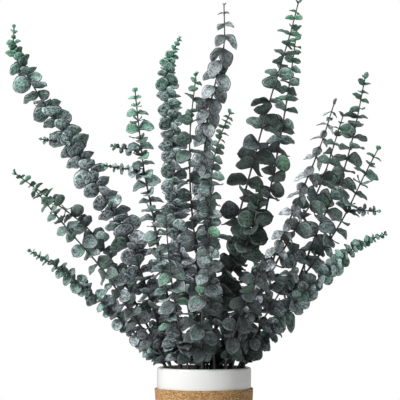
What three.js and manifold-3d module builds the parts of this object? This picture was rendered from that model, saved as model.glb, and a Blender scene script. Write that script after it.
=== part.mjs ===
import * as THREE from 'three';
import { mergeVertices } from 'three/addons/utils/BufferGeometryUtils.js';
import Module from 'manifold-3d';

// Eucalyptus branches standing in a white pot with a cork sleeve.
// Millimetres, +Z up, the pot's foot centred on the origin, the front seen along +Y.

// Pot and sleeve
const POT_HEIGHT = 110;
const POT_RADIUS_TOP = 47;
const POT_RADIUS_FOOT = 43.5;
const POT_TAPER_TOP = 88;
const POT_WALL = 4.5;
const POT_FLOOR = 7;
const POT_LIP = 2.2;
const POT_FOOT_ROUND = 2.5;
const POT_SEGMENTS = 28;
const EDGE_SHARE = 0.3;
const SLEEVE_GAP = 0.3;
const SLEEVE_THICK = 1.8;
const SLEEVE_BOTTOM = 5;
const SLEEVE_TOP = 89;
const SLEEVE_EDGE = 0.5;

// Branches
const FOOT_GAP = 0.3;
const FOOT_TURN = THREE.MathUtils.degToRad(80);
const FOOT_SHRINK = 0.65;
const NECK_RADIUS_LIMIT = 39;
const STEM_RADIUS_FOOT = 1.7;
const STEM_RADIUS_TIP = 0.6;
const STEM_SIDES = 4;
const SHOOT_RADIUS = 0.75;
const SHOOT_STEPS = 16;
const SHOOT_ALONG = 0.25;
const SHOOT_OUT = 0.15;
const SHOOT_BEND = 0.6;
const STEPS_PER_SPAN = 12;
const STEPS_PER_RING = 4;
const FIRST_LEAF = 11;
const FIRST_SHOOT_LEAF = 6;
const TIP_INSET = 1;
const TIP_PITCH = 40;

// Where the outlines of the branches were measured from
const VIEW_DISTANCE = 3000;
const VIEW_X = -4;
const VIEW_Z = 277;

// Leaves
const BLADE_THICK = 1.5;
const BLADE_SINK = 0.1;
const BLADE_CREST = 0.45;
const SMALL_LEAF = 13;
const TIP_LEAF = 17;
const SMALL_SIDES = 4;
const LARGE_SIDES = 5;
const CLEARANCE = 1.9;
const MARGIN = 1.2;
const SAME_STEM_CLEARANCE = 0.5;
const SAME_STEM_MARGIN = 0.3;
const SPACING_SWAY = 0.18;
const TURN_SWAY = 0.6;
const PITCH_SWAY = 0.7;
const PRESS_BEND = 0.75;
const LENGTH_FROM = 0.84;
const LENGTH_SPAN = 0.32;
const WIDTH_FROM = 0.94;
const WIDTH_SPAN = 0.12;
const TIP_PRESS = 0.6;
const STEM_CLEARANCE = 2.8;
const STEM_NEAR = 12;
const RIM_REACH = 8;
const OVER_RIM = 3;
const BELOW_RIM = 4;
const SAME_STEM_ROOT = 0.22;

const HABITS = {
  round: {
    leaf: 18.5, tipLeaf: 3.6, slimTip: 0.9, slimBase: 1.04, gap: 8, tipGap: 5, reach: 0.17,
    pitchTip: 48, pitchBase: 72, press: 0.55, scatter: 28, widest: 0.85, blunt: 0.5, curl: -0.14, fold: 0.2,
    colour: 0x5f7a70, crowded: true, keepOver: 99,
  },
  fine: {
    leaf: 12, tipLeaf: 4, slimTip: 0.9, slimBase: 1.05, gap: 5.8, tipGap: 3.8, reach: 0.32,
    pitchTip: 54, pitchBase: 72, press: 0.6, scatter: 26, widest: 0.85, blunt: 0.5, curl: -0.14, fold: 0.2,
    colour: 0x5e7a6e, crowded: true, keepOver: 99,
  },
  paddle: {
    leaf: 20, tipLeaf: 8, slimTip: 0.68, slimBase: 0.96, gap: 14, tipGap: 7, reach: 0.3,
    pitchTip: 74, pitchBase: 84, press: 0.5, scatter: 30, widest: 1, blunt: 0.52, curl: -0.18, fold: 0.24,
    colour: 0x4d6561, crowded: false, keepOver: 99,
  },
  tiered: {
    leaf: 13.5, tipLeaf: 5, slimTip: 1, slimBase: 1.12, gap: 9.2, tipGap: 7.2, reach: 0.14,
    pitchTip: 80, pitchBase: 84, press: 0.35, scatter: 16, widest: 0.9, blunt: 0.5, curl: -0.18, fold: 0.2,
    colour: 0x5c7a70, crowded: true, keepOver: 99,
  },
  broad: {
    leaf: 19, tipLeaf: 3, slimTip: 0.55, slimBase: 0.76, gap: 14, tipGap: 10, reach: 0.1,
    pitchTip: 76, pitchBase: 138, press: 0.42, scatter: 24, widest: 0.95, blunt: 0.66, curl: -0.2, fold: 0.24,
    colour: 0x64706f, crowded: false, keepOver: 20,
  },
  narrow: {
    leaf: 16, tipLeaf: 9, slimTip: 0.42, slimBase: 0.62, gap: 10.5, tipGap: 8, reach: 0.22,
    pitchTip: 112, pitchBase: 128, press: 0.4, scatter: 24, widest: 0.9, blunt: 0.75, curl: -0.16, fold: 0.24,
    colour: 0x6a7375, crowded: true, keepOver: 99,
  },
  large: {
    leaf: 19.5, tipLeaf: 7, slimTip: 0.8, slimBase: 0.96, gap: 17, tipGap: 9, reach: 0.22,
    pitchTip: 64, pitchBase: 92, press: 0.3, scatter: 46, widest: 0.92, blunt: 0.52, curl: -0.2, fold: 0.24,
    colour: 0x56696a, crowded: true, keepOver: 99,
  },
  shoot: {
    leaf: 7.5, tipLeaf: 3.5, slimTip: 0.8, slimBase: 0.95, gap: 5.5, tipGap: 3.6, reach: 0.6,
    pitchTip: 62, pitchBase: 80, press: 0.5, scatter: 24, widest: 0.95, blunt: 0.55, curl: -0.12, fold: 0.2,
    colour: 0x5e7a6e, crowded: true, keepOver: 99,
  },
};

// Each branch: habit, neck [angle, radius] in the mouth, its course [x, z] as seen from the front from
// the mouth to the tip, the depth of the tip, the turn of its leaf pairs, the side its leaves face,
// its leaf size, its side shoots [height on the branch, tip x, tip depth, tip z], and the heights
// between which it has no leaves.
const BRANCHES = [
  {
    name: 'branch_far_left', habit: 'round', neck: [150, 39], depth: 30, turn: 10, face: 8, size: 1,
    course: [
      [-52, 172], [-76, 237], [-101, 282], [-129, 327], [-159, 372], [-180, 407], [-190, 429], [-190, 450],
    ],
    shoots: [[242, -163, 8, 338]], bare: [0, 0],
  },
  {
    name: 'branch_left_tall', habit: 'round', neck: [104, 24], depth: 55, turn: 30, face: -10, size: 0.8,
    course: [[-17, 177], [-26, 242], [-30, 287], [-32, 347], [-37, 392], [-34, 417], [-24, 440]],
    shoots: [], bare: [0, 175],
  },
  {
    name: 'branch_left_low', habit: 'fine', neck: [192, 39], depth: -16, turn: 0, face: 0, size: 1,
    course: [[-76, 150], [-109, 181], [-144, 208], [-174, 226]],
    shoots: [], bare: [0, 0],
  },
  {
    name: 'branch_right_low', habit: 'fine', neck: [-16, 39], depth: -26, turn: 20, face: 0, size: 1,
    course: [[70, 149], [97, 181], [126, 208], [154, 232], [181, 243]],
    shoots: [], bare: [0, 0],
  },
  {
    name: 'branch_left_tiered', habit: 'tiered', neck: [232, 38], depth: -60, turn: 12, face: 0, size: 1,
    course: [[-36, 177], [-50, 256], [-60, 307], [-65, 349], [-69, 386]],
    shoots: [[192, -100, -66, 312], [214, -92, -40, 331]], bare: [0, 0],
  },
  {
    name: 'branch_mid_tall', habit: 'broad', neck: [75, 12], depth: 16, turn: 40, face: 0, size: 1,
    course: [[3, 196], [0, 277], [2, 347], [12, 397], [20, 432], [20, 473]],
    shoots: [], bare: [0, 185],
  },
  {
    name: 'branch_right_tall', habit: 'paddle', neck: [-35, 21], depth: 2, turn: 70, face: 0, size: 1,
    course: [[22, 192], [31, 245], [51, 322], [67, 380], [85, 439], [94, 473]],
    shoots: [], bare: [0, 0],
  },
  {
    name: 'branch_right_second', habit: 'paddle', neck: [34, 31], depth: 64, turn: 45, face: 0, size: 0.84,
    course: [[43, 177], [61, 262], [74, 327], [85, 390], [93, 448]],
    shoots: [], bare: [210, 274],
  },
  {
    name: 'branch_right_outer', habit: 'paddle', neck: [16, 39], depth: 46, turn: 20, face: 0, size: 1,
    course: [[84, 177], [116, 252], [138, 302], [151, 349], [161, 399]],
    shoots: [], bare: [0, 150],
  },
  {
    name: 'branch_left_upper', habit: 'paddle', neck: [171, 39], depth: 64, turn: 60, face: 0, size: 0.72,
    course: [[-77, 190], [-112, 244], [-154, 278], [-188, 303]],
    shoots: [], bare: [0, 150],
  },
  {
    name: 'branch_left_second', habit: 'paddle', neck: [214, 39], depth: -50, turn: 15, face: 0, size: 0.8,
    course: [[-70, 160], [-98, 203], [-133, 244], [-168, 286]],
    shoots: [], bare: [0, 0],
  },
  {
    name: 'branch_right_narrow', habit: 'narrow', neck: [-45, 39], depth: -66, turn: 0, face: 0, size: 0.92,
    course: [[54, 177], [73, 227], [98, 286], [116, 330], [130, 373]],
    shoots: [], bare: [0, 0],
  },
  {
    name: 'branch_right_inner', habit: 'paddle', neck: [0, 27], depth: -8, turn: 70, face: 0, size: 0.88,
    course: [[61, 192], [92, 249], [116, 291], [139, 361]],
    shoots: [], bare: [0, 0],
  },
  {
    name: 'branch_right_small', habit: 'tiered', neck: [-1, 39], depth: 14, turn: 0, face: 20, size: 1.15,
    course: [[92, 190], [121, 230], [141, 262], [159, 299], [174, 328]],
    shoots: [[185, 174, 0, 266]], bare: [0, 0],
  },
  {
    name: 'branch_mid_green', habit: 'large', neck: [268, 18], depth: -36, turn: 30, face: 10, size: 0.84,
    course: [[-5, 197], [-13, 277], [-14, 342], [-8, 402]],
    shoots: [], bare: [0, 0],
  },
  {
    name: 'branch_mid_small', habit: 'paddle', neck: [286, 38], depth: -50, turn: 50, face: 0, size: 0.68,
    course: [[5, 200], [5, 257], [9, 312], [17, 342], [26, 364]],
    shoots: [], bare: [0, 0],
  },
  {
    name: 'branch_centre_dark', habit: 'round', neck: [310, 10], depth: -40, turn: 0, face: 0, size: 1.1,
    course: [[18, 185], [38, 222], [51, 258], [56, 290]],
    shoots: [], bare: [0, 0],
  },
  {
    name: 'branch_front_left', habit: 'large', neck: [247, 39], depth: -104, turn: 25, face: 20, size: 0.88,
    course: [[-30, 180], [-36, 230], [-38, 262]],
    shoots: [], bare: [0, 0],
  },
  {
    name: 'branch_front_mid', habit: 'large', neck: [268, 39], depth: -120, turn: 60, face: 0, size: 0.88,
    course: [[-2, 160], [3, 195], [8, 225]],
    shoots: [], bare: [0, 0],
  },
  {
    name: 'branch_front_right', habit: 'large', neck: [301, 39], depth: -108, turn: 10, face: -20, size: 0.88,
    course: [[36, 160], [50, 190], [58, 218]],
    shoots: [], bare: [0, 0],
  },
  {
    name: 'branch_side_right', habit: 'large', neck: [-30, 39], depth: -56, turn: 35, face: -30, size: 0.66,
    course: [[58, 155], [80, 192], [95, 222]],
    shoots: [], bare: [0, 0],
  },
  {
    name: 'branch_back_left', habit: 'large', neck: [126, 39], depth: 112, turn: 15, face: 150, size: 0.8,
    course: [[-32, 165], [-43, 208], [-50, 250]],
    shoots: [], bare: [0, 145],
  },
  {
    name: 'branch_back_mid', habit: 'large', neck: [90, 39], depth: 124, turn: 40, face: 180, size: 0.8,
    course: [[-2, 170], [0, 220], [6, 268]],
    shoots: [], bare: [0, 150],
  },
  {
    name: 'branch_back_right', habit: 'large', neck: [56, 39], depth: 112, turn: 65, face: 210, size: 0.8,
    course: [[36, 160], [48, 190], [58, 215]],
    shoots: [], bare: [0, 140],
  },
];

// Ways a leaf moves aside when its own place is taken:
// [turn round the stem, pitch, roll, size]
const ASIDES = [
  [0, 0, 0, 1], [16, 0, 0, 1], [-16, 0, 0, 1], [0, -18, 0, 1], [0, 18, 0, 1],
  [24, -16, 20, 0.95], [-24, 16, -20, 0.95], [0, -34, 0, 0.88], [0, 30, 30, 0.88],
  [34, 0, -35, 0.8], [-34, 0, 35, 0.8], [0, -45, 50, 0.72], [20, 40, -50, 0.72],
];

const RIM_POINTS = 8;
const SHOOT_KEYS = 500;
const KEPT_PAIRS = 3;
const TINY = 1e-6;
const SAME_POINT = 1e-5;
const NO_FRONT = 1e-4;

/** A number from 0 to 1 drawn by three counts, the same each time. */
function chance(a, b, c) {
  let h = Math.imul(a + 1, 0x9e3779b1) ^ Math.imul(b + 1, 0x85ebca6b) ^ Math.imul(c + 1, 0xc2b2ae35);
  h = Math.imul(h ^ (h >>> 15), 0x2c1b3c6d);
  h = Math.imul(h ^ (h >>> 12), 0x297a2d39);
  return ((h ^ (h >>> 15)) >>> 0) / 4294967296;
}

/** A draw from -1 to 1. */
function spread(a, b, c) {
  return 2 * chance(a, b, c) - 1;
}

function mix(a, b, t) {
  return a + (b - a) * t;
}

/** A line of points with a frame at each of them. */
class Path {
  constructor(points) {
    this.points = points;
    this.along = [0];
    for (let i = 1; i < points.length; i += 1) {
      this.along.push(this.along[i - 1] + points[i].distanceTo(points[i - 1]));
    }
    const last = points.length - 1;
    this.tangents = points.map((_, i) => (
      points[Math.min(i + 1, last)].clone().sub(points[Math.max(i - 1, 0)]).normalize()
    ));
    let side = new THREE.Vector3(0, 1, 0);
    this.sides = this.tangents.map((t) => {
      side = side.clone().addScaledVector(t, -side.dot(t)).normalize();
      return side;
    });
  }

  get length() {
    return this.along[this.along.length - 1];
  }

  /** The point, direction and two cross directions at a distance along the path. */
  at(distance) {
    let i = 0;
    while (i < this.points.length - 2 && this.along[i + 1] <= distance) {
      i += 1;
    }
    const f = (distance - this.along[i]) / (this.along[i + 1] - this.along[i]);
    const point = this.points[i].clone().lerp(this.points[i + 1], f);
    const tangent = this.tangents[i].clone().lerp(this.tangents[i + 1], f).normalize();
    const side = this.sides[i].clone().lerp(this.sides[i + 1], f);
    side.addScaledVector(tangent, -side.dot(tangent)).normalize();
    return { point, tangent, side, cross: tangent.clone().cross(side) };
  }
}

/** A measured front-view point carried out to its depth. */
function carried(x, z, depth) {
  const k = (VIEW_DISTANCE + depth) / VIEW_DISTANCE;
  return new THREE.Vector3(VIEW_X + (x - VIEW_X) * k, depth, VIEW_Z + (z - VIEW_Z) * k);
}

/** Where a branch passes the mouth of the pot and where it stands on the floor. */
function neckAndFoot(branch) {
  const angle = THREE.MathUtils.degToRad(branch.neck[0]);
  const radius = Math.min(branch.neck[1], NECK_RADIUS_LIMIT);
  const neck = new THREE.Vector3(radius * Math.cos(angle), radius * Math.sin(angle), POT_HEIGHT);
  const low = radius * FOOT_SHRINK;
  const turned = angle + FOOT_TURN;
  const foot = new THREE.Vector3(low * Math.cos(turned), low * Math.sin(turned), POT_FLOOR + FOOT_GAP);
  const slope = foot.clone().sub(neck);
  foot.z += (STEM_RADIUS_FOOT * Math.hypot(slope.x, slope.y)) / slope.length();
  return { neck, foot };
}

/** One point of a span between b and c, the neighbours a and d giving its ends their direction. */
function spanPoint(a, b, c, d, t) {
  const out = new THREE.Vector3();
  const t2 = t * t;
  const t3 = t2 * t;
  out.addScaledVector(a, 0.5 * (-t3 + 2 * t2 - t));
  out.addScaledVector(b, 0.5 * (3 * t3 - 5 * t2 + 2));
  out.addScaledVector(c, 0.5 * (-3 * t3 + 4 * t2 + t));
  out.addScaledVector(d, 0.5 * (t3 - t2));
  return out;
}

/** The course of a branch above the mouth of the pot. */
function branchPath(branch) {
  const { neck, foot } = neckAndFoot(branch);
  const top = branch.course[branch.course.length - 1][1];
  const points = branch.course.map(([x, z]) => (
    carried(x, z, mix(neck.y, branch.depth, (z - POT_HEIGHT) / (top - POT_HEIGHT)))
  ));
  points.unshift(neck);
  const reach = points[1].distanceTo(neck);
  const lean = neck.clone().sub(foot).normalize().add(points[1].clone().sub(neck).normalize()).normalize();
  points.unshift(points[1].clone().addScaledVector(lean, -2 * reach));
  const last = points.length - 1;
  points.push(points[last].clone().multiplyScalar(2).sub(points[last - 1]));
  const course = [];
  for (let i = 1; i < last; i += 1) {
    for (let s = 0; s < STEPS_PER_SPAN; s += 1) {
      course.push(spanPoint(points[i - 1], points[i], points[i + 1], points[i + 2], s / STEPS_PER_SPAN));
    }
  }
  course.push(points[last].clone());
  return new Path(course);
}

/** The course of a side shoot from its place on the branch to its tip. */
function shootPath(path, [distance, x, depth, z]) {
  const { point, tangent } = path.at(distance);
  const tip = carried(x, z, depth);
  const reach = tip.clone().sub(point);
  const rise = point.clone().addScaledVector(tangent, SHOOT_ALONG * reach.length());
  rise.addScaledVector(reach, SHOOT_OUT);
  const bend = point.clone().addScaledVector(reach, SHOOT_BEND);
  return new Path(new THREE.CubicBezierCurve3(point, rise, bend, tip).getPoints(SHOOT_STEPS));
}

/** Half the width of a leaf at v, 0 at its root and 1 at its tip, as a share of the widest. */
function leafOutline(habit, v) {
  return v > 0 && v < 1 ? Math.sin(Math.PI * v ** habit.widest) ** habit.blunt : 0;
}

/** How far the blade rises out of its plane. */
function leafLift(leaf, x, v) {
  return leaf.habit.curl * leaf.length * v * v + leaf.habit.fold * Math.abs(x);
}

/** A point of the middle of the blade, x across it in mm. */
function leafPoint(leaf, x, v, rise = 0) {
  return leaf.base.clone()
    .addScaledVector(leaf.along, leaf.length * v)
    .addScaledVector(leaf.across, x)
    .addScaledVector(leaf.up, leafLift(leaf, x, v) + rise);
}

/** A leaf at a place on a stem, moved aside in one of the ways listed. */
function makeLeaf(spot, side, aside) {
  const { branchIndex, pair, habit, place, face, press, shoot } = spot;
  const key = pair * 2 + side + (shoot ? SHOOT_KEYS : 0);
  const { point, tangent, side: normal, cross } = place;
  const sway = habit.scatter * TURN_SWAY * spread(branchIndex, key, 1);
  const azimuth = THREE.MathUtils.degToRad(spot.azimuth + 180 * side + aside[0] + sway);
  const nod = habit.scatter * PITCH_SWAY * spread(branchIndex, key, 2);
  const pitch = THREE.MathUtils.degToRad(spot.pitch + aside[1] + nod);
  const out = normal.clone().multiplyScalar(Math.cos(azimuth)).addScaledVector(cross, Math.sin(azimuth));
  const along = tangent.clone().multiplyScalar(Math.cos(pitch)).addScaledVector(out, Math.sin(pitch));
  const up = tangent.clone().multiplyScalar(Math.sin(pitch)).addScaledVector(out, -Math.cos(pitch));
  along.addScaledVector(face, -PRESS_BEND * press * along.dot(face)).normalize();
  up.addScaledVector(along, -up.dot(along)).normalize();
  const front = face.clone().addScaledVector(along, -face.dot(along));
  if (front.lengthSq() > NO_FRONT) {
    front.normalize();
    const sign = up.dot(front) < 0 ? -1 : 1;
    up.multiplyScalar(1 - press).addScaledVector(front, sign * press);
    up.addScaledVector(along, -up.dot(along)).normalize();
  }
  const roll = aside[2] + habit.scatter * spread(branchIndex, key, 3);
  up.applyAxisAngle(along, THREE.MathUtils.degToRad(roll));
  const length = spot.length * aside[3] * (LENGTH_FROM + LENGTH_SPAN * chance(branchIndex, key, 4));
  const width = length * spot.slim * (WIDTH_FROM + WIDTH_SPAN * chance(branchIndex, key, 5));
  const leaf = { branchIndex, pair, side, shoot, habit, base: point, along, up, length, width };
  leaf.across = along.clone().cross(up);
  leaf.rim = [];
  for (let i = 0; i < RIM_POINTS; i += 1) {
    const v = 0.5 * (1 - Math.cos((2 * Math.PI * i) / RIM_POINTS));
    const half = 0.5 * width * leafOutline(habit, v);
    leaf.rim.push(leafPoint(leaf, i < RIM_POINTS / 2 ? half : -half, v));
  }
  leaf.middle = leafPoint(leaf, 0, 0.5);
  return leaf;
}

/** A point in the frame of a leaf: along it, across it, and off its blade. */
function inLeaf(leaf, point) {
  const rel = point.clone().sub(leaf.base);
  const y = rel.dot(leaf.along);
  const x = rel.dot(leaf.across);
  const v = Math.min(Math.max(y / leaf.length, 0), 1);
  return { y, x, z: rel.dot(leaf.up) - leafLift(leaf, x, v) };
}

/** Whether a place in a leaf's plane lies in its oval grown by a margin. */
function inOval(leaf, x, y, margin) {
  const a = (y - leaf.length / 2) / (leaf.length / 2 + margin);
  const b = x / (leaf.width / 2 + margin);
  return a * a + b * b < 1;
}

/** Whether the rim or a rib of leaf a comes within reach of the blade of leaf b. */
function reaches(a, b, sameStem) {
  const low = sameStem ? SAME_STEM_ROOT * b.length : -Infinity;
  const clearance = sameStem ? SAME_STEM_CLEARANCE : CLEARANCE;
  const margin = sameStem ? SAME_STEM_MARGIN : MARGIN;
  const local = [...a.rim, a.middle].map((p) => inLeaf(b, p));
  for (let i = 1; i < local.length; i += 1) {
    const p = local[i];
    if (Math.abs(p.z) < clearance && p.y > low && inOval(b, p.x, p.y, margin)) {
      return true;
    }
  }
  const crosses = (p, q) => {
    if (p.z * q.z >= 0) {
      return false;
    }
    const f = p.z / (p.z - q.z);
    const y = mix(p.y, q.y, f);
    return y > low && inOval(b, mix(p.x, q.x, f), y, margin);
  };
  for (let i = 0; i < RIM_POINTS; i += 1) {
    if (crosses(local[i], local[(i + 1) % RIM_POINTS])) {
      return true;
    }
    if (i > 0 && crosses(local[i], local[RIM_POINTS])) {
      return true;
    }
  }
  return false;
}

/** Whether the stem of another branch runs through a leaf or close beside it. */
function meetsStem(leaf, path) {
  const reach = (leaf.length / 2 + STEM_NEAR) ** 2;
  let before = null;
  for (const point of path.points) {
    if (point.distanceToSquared(leaf.middle) > reach) {
      before = null;
      continue;
    }
    const p = inLeaf(leaf, point);
    p.inside = inOval(leaf, p.x, p.y, STEM_CLEARANCE);
    if (p.inside && Math.abs(p.z) < STEM_CLEARANCE) {
      return true;
    }
    if (before && before.z * p.z < 0) {
      const f = p.z / (p.z - before.z);
      if (inOval(leaf, mix(p.x, before.x, f), mix(p.y, before.y, f), STEM_CLEARANCE)) {
        return true;
      }
    }
    before = p;
  }
  return false;
}

/** Whether a leaf touches the rim of the pot or hangs down into it. */
function meetsPot(leaf) {
  return leaf.rim.some((p, i) => {
    const outside = Math.hypot(p.x, p.y) > POT_RADIUS_TOP - POT_WALL - RIM_REACH;
    return i > 0 && p.z < (outside ? POT_HEIGHT + OVER_RIM : POT_HEIGHT - BELOW_RIM);
  });
}

/** Whether a leaf's place is taken. */
function taken(leaf, grove) {
  for (const other of grove.leaves) {
    const far = leaf.length / 2 + other.length / 2 + CLEARANCE + MARGIN;
    if (other.middle.distanceToSquared(leaf.middle) > far * far) {
      continue;
    }
    const sameStem = other.branchIndex === leaf.branchIndex;
    if (sameStem && other.pair === leaf.pair && other.shoot === leaf.shoot) {
      continue;
    }
    if (reaches(leaf, other, sameStem) || reaches(other, leaf, sameStem)) {
      return true;
    }
  }
  const otherStem = (stem) => stem.branchIndex !== leaf.branchIndex && meetsStem(leaf, stem.path);
  return grove.stems.some(otherStem) || meetsPot(leaf);
}

/** The leaf pairs of one stem, from its tip down. */
function growStem(stem, grove) {
  const { habit, branch, path, start } = stem;
  const angle = THREE.MathUtils.degToRad(branch.face);
  const face = new THREE.Vector3(Math.sin(angle), -Math.cos(angle), 0);
  let distance = path.length - TIP_INSET;
  let last = false;
  for (let pair = 0; !last; pair += 1) {
    last = distance <= start;
    distance = Math.max(distance, start);
    const grown = Math.min(1, (path.length - distance) / (habit.reach * path.length));
    const pitch = mix(habit.pitchTip, habit.pitchBase, grown);
    const spot = {
      branchIndex: stem.branchIndex,
      pair,
      habit,
      face,
      shoot: stem.shoot,
      place: path.at(distance),
      azimuth: branch.turn + 90 * pair,
      pitch: pair === 0 ? Math.min(pitch, TIP_PITCH) : pitch,
      length: mix(habit.tipLeaf, habit.leaf, grown) * branch.size,
      slim: mix(habit.slimTip, habit.slimBase, grown),
      press: habit.press * mix(TIP_PRESS, 1, grown),
    };
    const height = spot.place.point.z;
    const bare = height > branch.bare[0] && height < branch.bare[1];
    for (const side of bare ? [] : [0, 1]) {
      for (const aside of ASIDES) {
        const leaf = makeLeaf(spot, side, aside);
        if (!taken(leaf, grove)) {
          grove.leaves.push(leaf);
          break;
        }
      }
    }
    const sway = 1 + SPACING_SWAY * spread(stem.branchIndex, pair, 6);
    distance -= branch.size * mix(habit.tipGap, habit.gap, grown) * sway;
  }
}

/** All stems, shoots and leaves. */
function growGrove() {
  const grove = { stems: [], leaves: [] };
  BRANCHES.forEach((branch, branchIndex) => {
    const path = branchPath(branch);
    const habit = HABITS[branch.habit];
    grove.stems.push({ branch, branchIndex, path, habit, shoot: false, start: FIRST_LEAF });
    for (const shoot of branch.shoots) {
      const side = shootPath(path, shoot);
      grove.stems.push({
        branch, branchIndex, path: side, habit: HABITS.shoot, shoot: true, start: FIRST_SHOOT_LEAF,
      });
    }
  });
  for (const stem of grove.stems) {
    growStem(stem, grove);
  }
  return grove;
}

/** A closed geometry as a solid. */
function solidOf(wasm, geometry) {
  geometry.deleteAttribute('normal');
  geometry.deleteAttribute('uv');
  const merged = mergeVertices(geometry, SAME_POINT);
  const mesh = new wasm.Mesh({
    numProp: 3,
    vertProperties: new Float32Array(merged.attributes.position.array),
    triVerts: new Uint32Array(merged.index.array),
  });
  return new wasm.Manifold(mesh);
}

/** A solid as a geometry. */
function geometryOf(solid) {
  const mesh = solid.getMesh();
  const geometry = new THREE.BufferGeometry();
  geometry.setAttribute('position', new THREE.BufferAttribute(new Float32Array(mesh.vertProperties), 3));
  geometry.setIndex(new THREE.BufferAttribute(new Uint32Array(mesh.triVerts), 1));
  geometry.computeVertexNormals();
  return geometry;
}

/** A tapering stem bent along a path, with a ring at every few of its points. */
function stemGeometry(path, radiusBelow, radiusAbove, firstRing) {
  const profile = [new THREE.Vector2(0, 0), new THREE.Vector2(radiusBelow, 0)];
  for (let i = firstRing; i < path.points.length; i += STEPS_PER_RING) {
    const radius = mix(radiusBelow, radiusAbove, path.along[i] / path.length);
    profile.push(new THREE.Vector2(radius, path.along[i]));
  }
  profile.push(new THREE.Vector2(0, path.length));
  const geometry = new THREE.LatheGeometry(profile, STEM_SIDES);
  const position = geometry.attributes.position;
  for (let i = 0; i < position.count; i += 1) {
    const { point, side, cross } = path.at(position.getY(i));
    point.addScaledVector(cross, position.getX(i)).addScaledVector(side, position.getZ(i));
    position.setXYZ(i, point.x, point.y, point.z);
  }
  return geometry;
}

/** A leaf blade, thick along its middle and thin at its rim. */
function leafGeometry(leaf) {
  const sides = leaf.length < SMALL_LEAF ? SMALL_SIDES : LARGE_SIDES;
  const geometry = new THREE.SphereGeometry(1, sides, 2);
  const position = geometry.attributes.position;
  for (let i = 0; i < position.count; i += 1) {
    const pole = position.getY(i);
    let point;
    if (Math.abs(pole) > 0.5) {
      point = leafPoint(leaf, 0, BLADE_CREST, (Math.sign(pole) * BLADE_THICK) / 2);
    } else {
      const v = Math.min(Math.max((1 + position.getX(i)) / 2, 0), 1);
      const z = position.getZ(i);
      const half = Math.abs(z) < TINY ? 0 : 0.5 * leaf.width * leafOutline(leaf.habit, v);
      point = leafPoint(leaf, Math.sign(z) * half, v);
      if (v < TINY) {
        point.addScaledVector(leaf.along, -BLADE_SINK);
      }
    }
    position.setXYZ(i, point.x, point.y, point.z);
  }
  return geometry;
}

/** Whether the solid carries this leaf: crowded stems carry every third pair, others one leaf of a pair. */
function carries(leaf) {
  if (leaf.pair === 0 || leaf.length > leaf.habit.keepOver) {
    return true;
  }
  return leaf.habit.crowded || leaf.length < TIP_LEAF ? leaf.pair % KEPT_PAIRS === 0 : leaf.side === 0;
}

/** One leafy branch with its side shoots and leaves as a single solid. */
function branchSolid(wasm, branch, branchIndex, grove) {
  const solids = [];
  for (const stem of grove.stems.filter((s) => s.branchIndex === branchIndex)) {
    const full = new Path([neckAndFoot(branch).foot, ...stem.path.points]);
    const geometry = stem.shoot
      ? stemGeometry(stem.path, SHOOT_RADIUS, STEM_RADIUS_TIP, STEPS_PER_RING)
      : stemGeometry(full, STEM_RADIUS_FOOT, STEM_RADIUS_TIP, 1);
    solids.push(solidOf(wasm, geometry));
  }
  for (const leaf of grove.leaves.filter((l) => l.branchIndex === branchIndex && carries(l))) {
    solids.push(solidOf(wasm, leafGeometry(leaf)));
  }
  return wasm.Manifold.union(solids);
}

/** The outer radius of the pot at a height. */
function potRadius(z) {
  return mix(POT_RADIUS_FOOT, POT_RADIUS_TOP, Math.min(1, z / POT_TAPER_TOP));
}

/** The pot: thick-walled, with a rounded lip and foot. */
function potGeometry() {
  const inner = POT_RADIUS_TOP - POT_WALL;
  const floorRadius = potRadius(POT_FLOOR) - POT_WALL;
  const profile = [
    [0, 0],
    [potRadius(0) - POT_FOOT_ROUND, 0],
    [potRadius(0) - EDGE_SHARE * POT_FOOT_ROUND, EDGE_SHARE * POT_FOOT_ROUND],
    [potRadius(POT_FOOT_ROUND), POT_FOOT_ROUND],
    [POT_RADIUS_TOP, POT_TAPER_TOP],
    [POT_RADIUS_TOP, POT_HEIGHT - POT_LIP],
    [POT_RADIUS_TOP - EDGE_SHARE * POT_LIP, POT_HEIGHT - EDGE_SHARE * POT_LIP],
    [POT_RADIUS_TOP - POT_LIP, POT_HEIGHT],
    [inner + EDGE_SHARE * POT_LIP, POT_HEIGHT - EDGE_SHARE * POT_LIP],
    [inner, POT_HEIGHT - POT_LIP],
    [inner, POT_TAPER_TOP],
    [floorRadius, POT_FLOOR + POT_FOOT_ROUND],
    [floorRadius - POT_FOOT_ROUND, POT_FLOOR],
    [0, POT_FLOOR],
  ].map(([r, z]) => new THREE.Vector2(r, z));
  return new THREE.LatheGeometry(profile, POT_SEGMENTS).rotateX(Math.PI / 2);
}

/** The cork sleeve wrapped round the pot below its white band. */
function sleeveGeometry() {
  const inner = (z) => potRadius(z) + SLEEVE_GAP;
  const outer = (z) => inner(z) + SLEEVE_THICK;
  const profile = [
    [inner(SLEEVE_BOTTOM), SLEEVE_BOTTOM],
    [outer(SLEEVE_BOTTOM) - SLEEVE_EDGE, SLEEVE_BOTTOM],
    [outer(SLEEVE_BOTTOM), SLEEVE_BOTTOM + SLEEVE_EDGE],
    [outer(POT_TAPER_TOP), POT_TAPER_TOP - SLEEVE_EDGE],
    [outer(SLEEVE_TOP) - SLEEVE_EDGE, SLEEVE_TOP],
    [inner(SLEEVE_TOP), SLEEVE_TOP],
    [inner(POT_TAPER_TOP), POT_TAPER_TOP],
    [inner(SLEEVE_BOTTOM), SLEEVE_BOTTOM],
  ].map(([r, z]) => new THREE.Vector2(r, z));
  return new THREE.LatheGeometry(profile, POT_SEGMENTS).rotateX(Math.PI / 2);
}

function addMesh(group, name, geometry, color, roughness) {
  const material = new THREE.MeshStandardMaterial({ color, roughness, metalness: 0 });
  const mesh = new THREE.Mesh(geometry, material);
  mesh.name = name;
  group.add(mesh);
}

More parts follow.
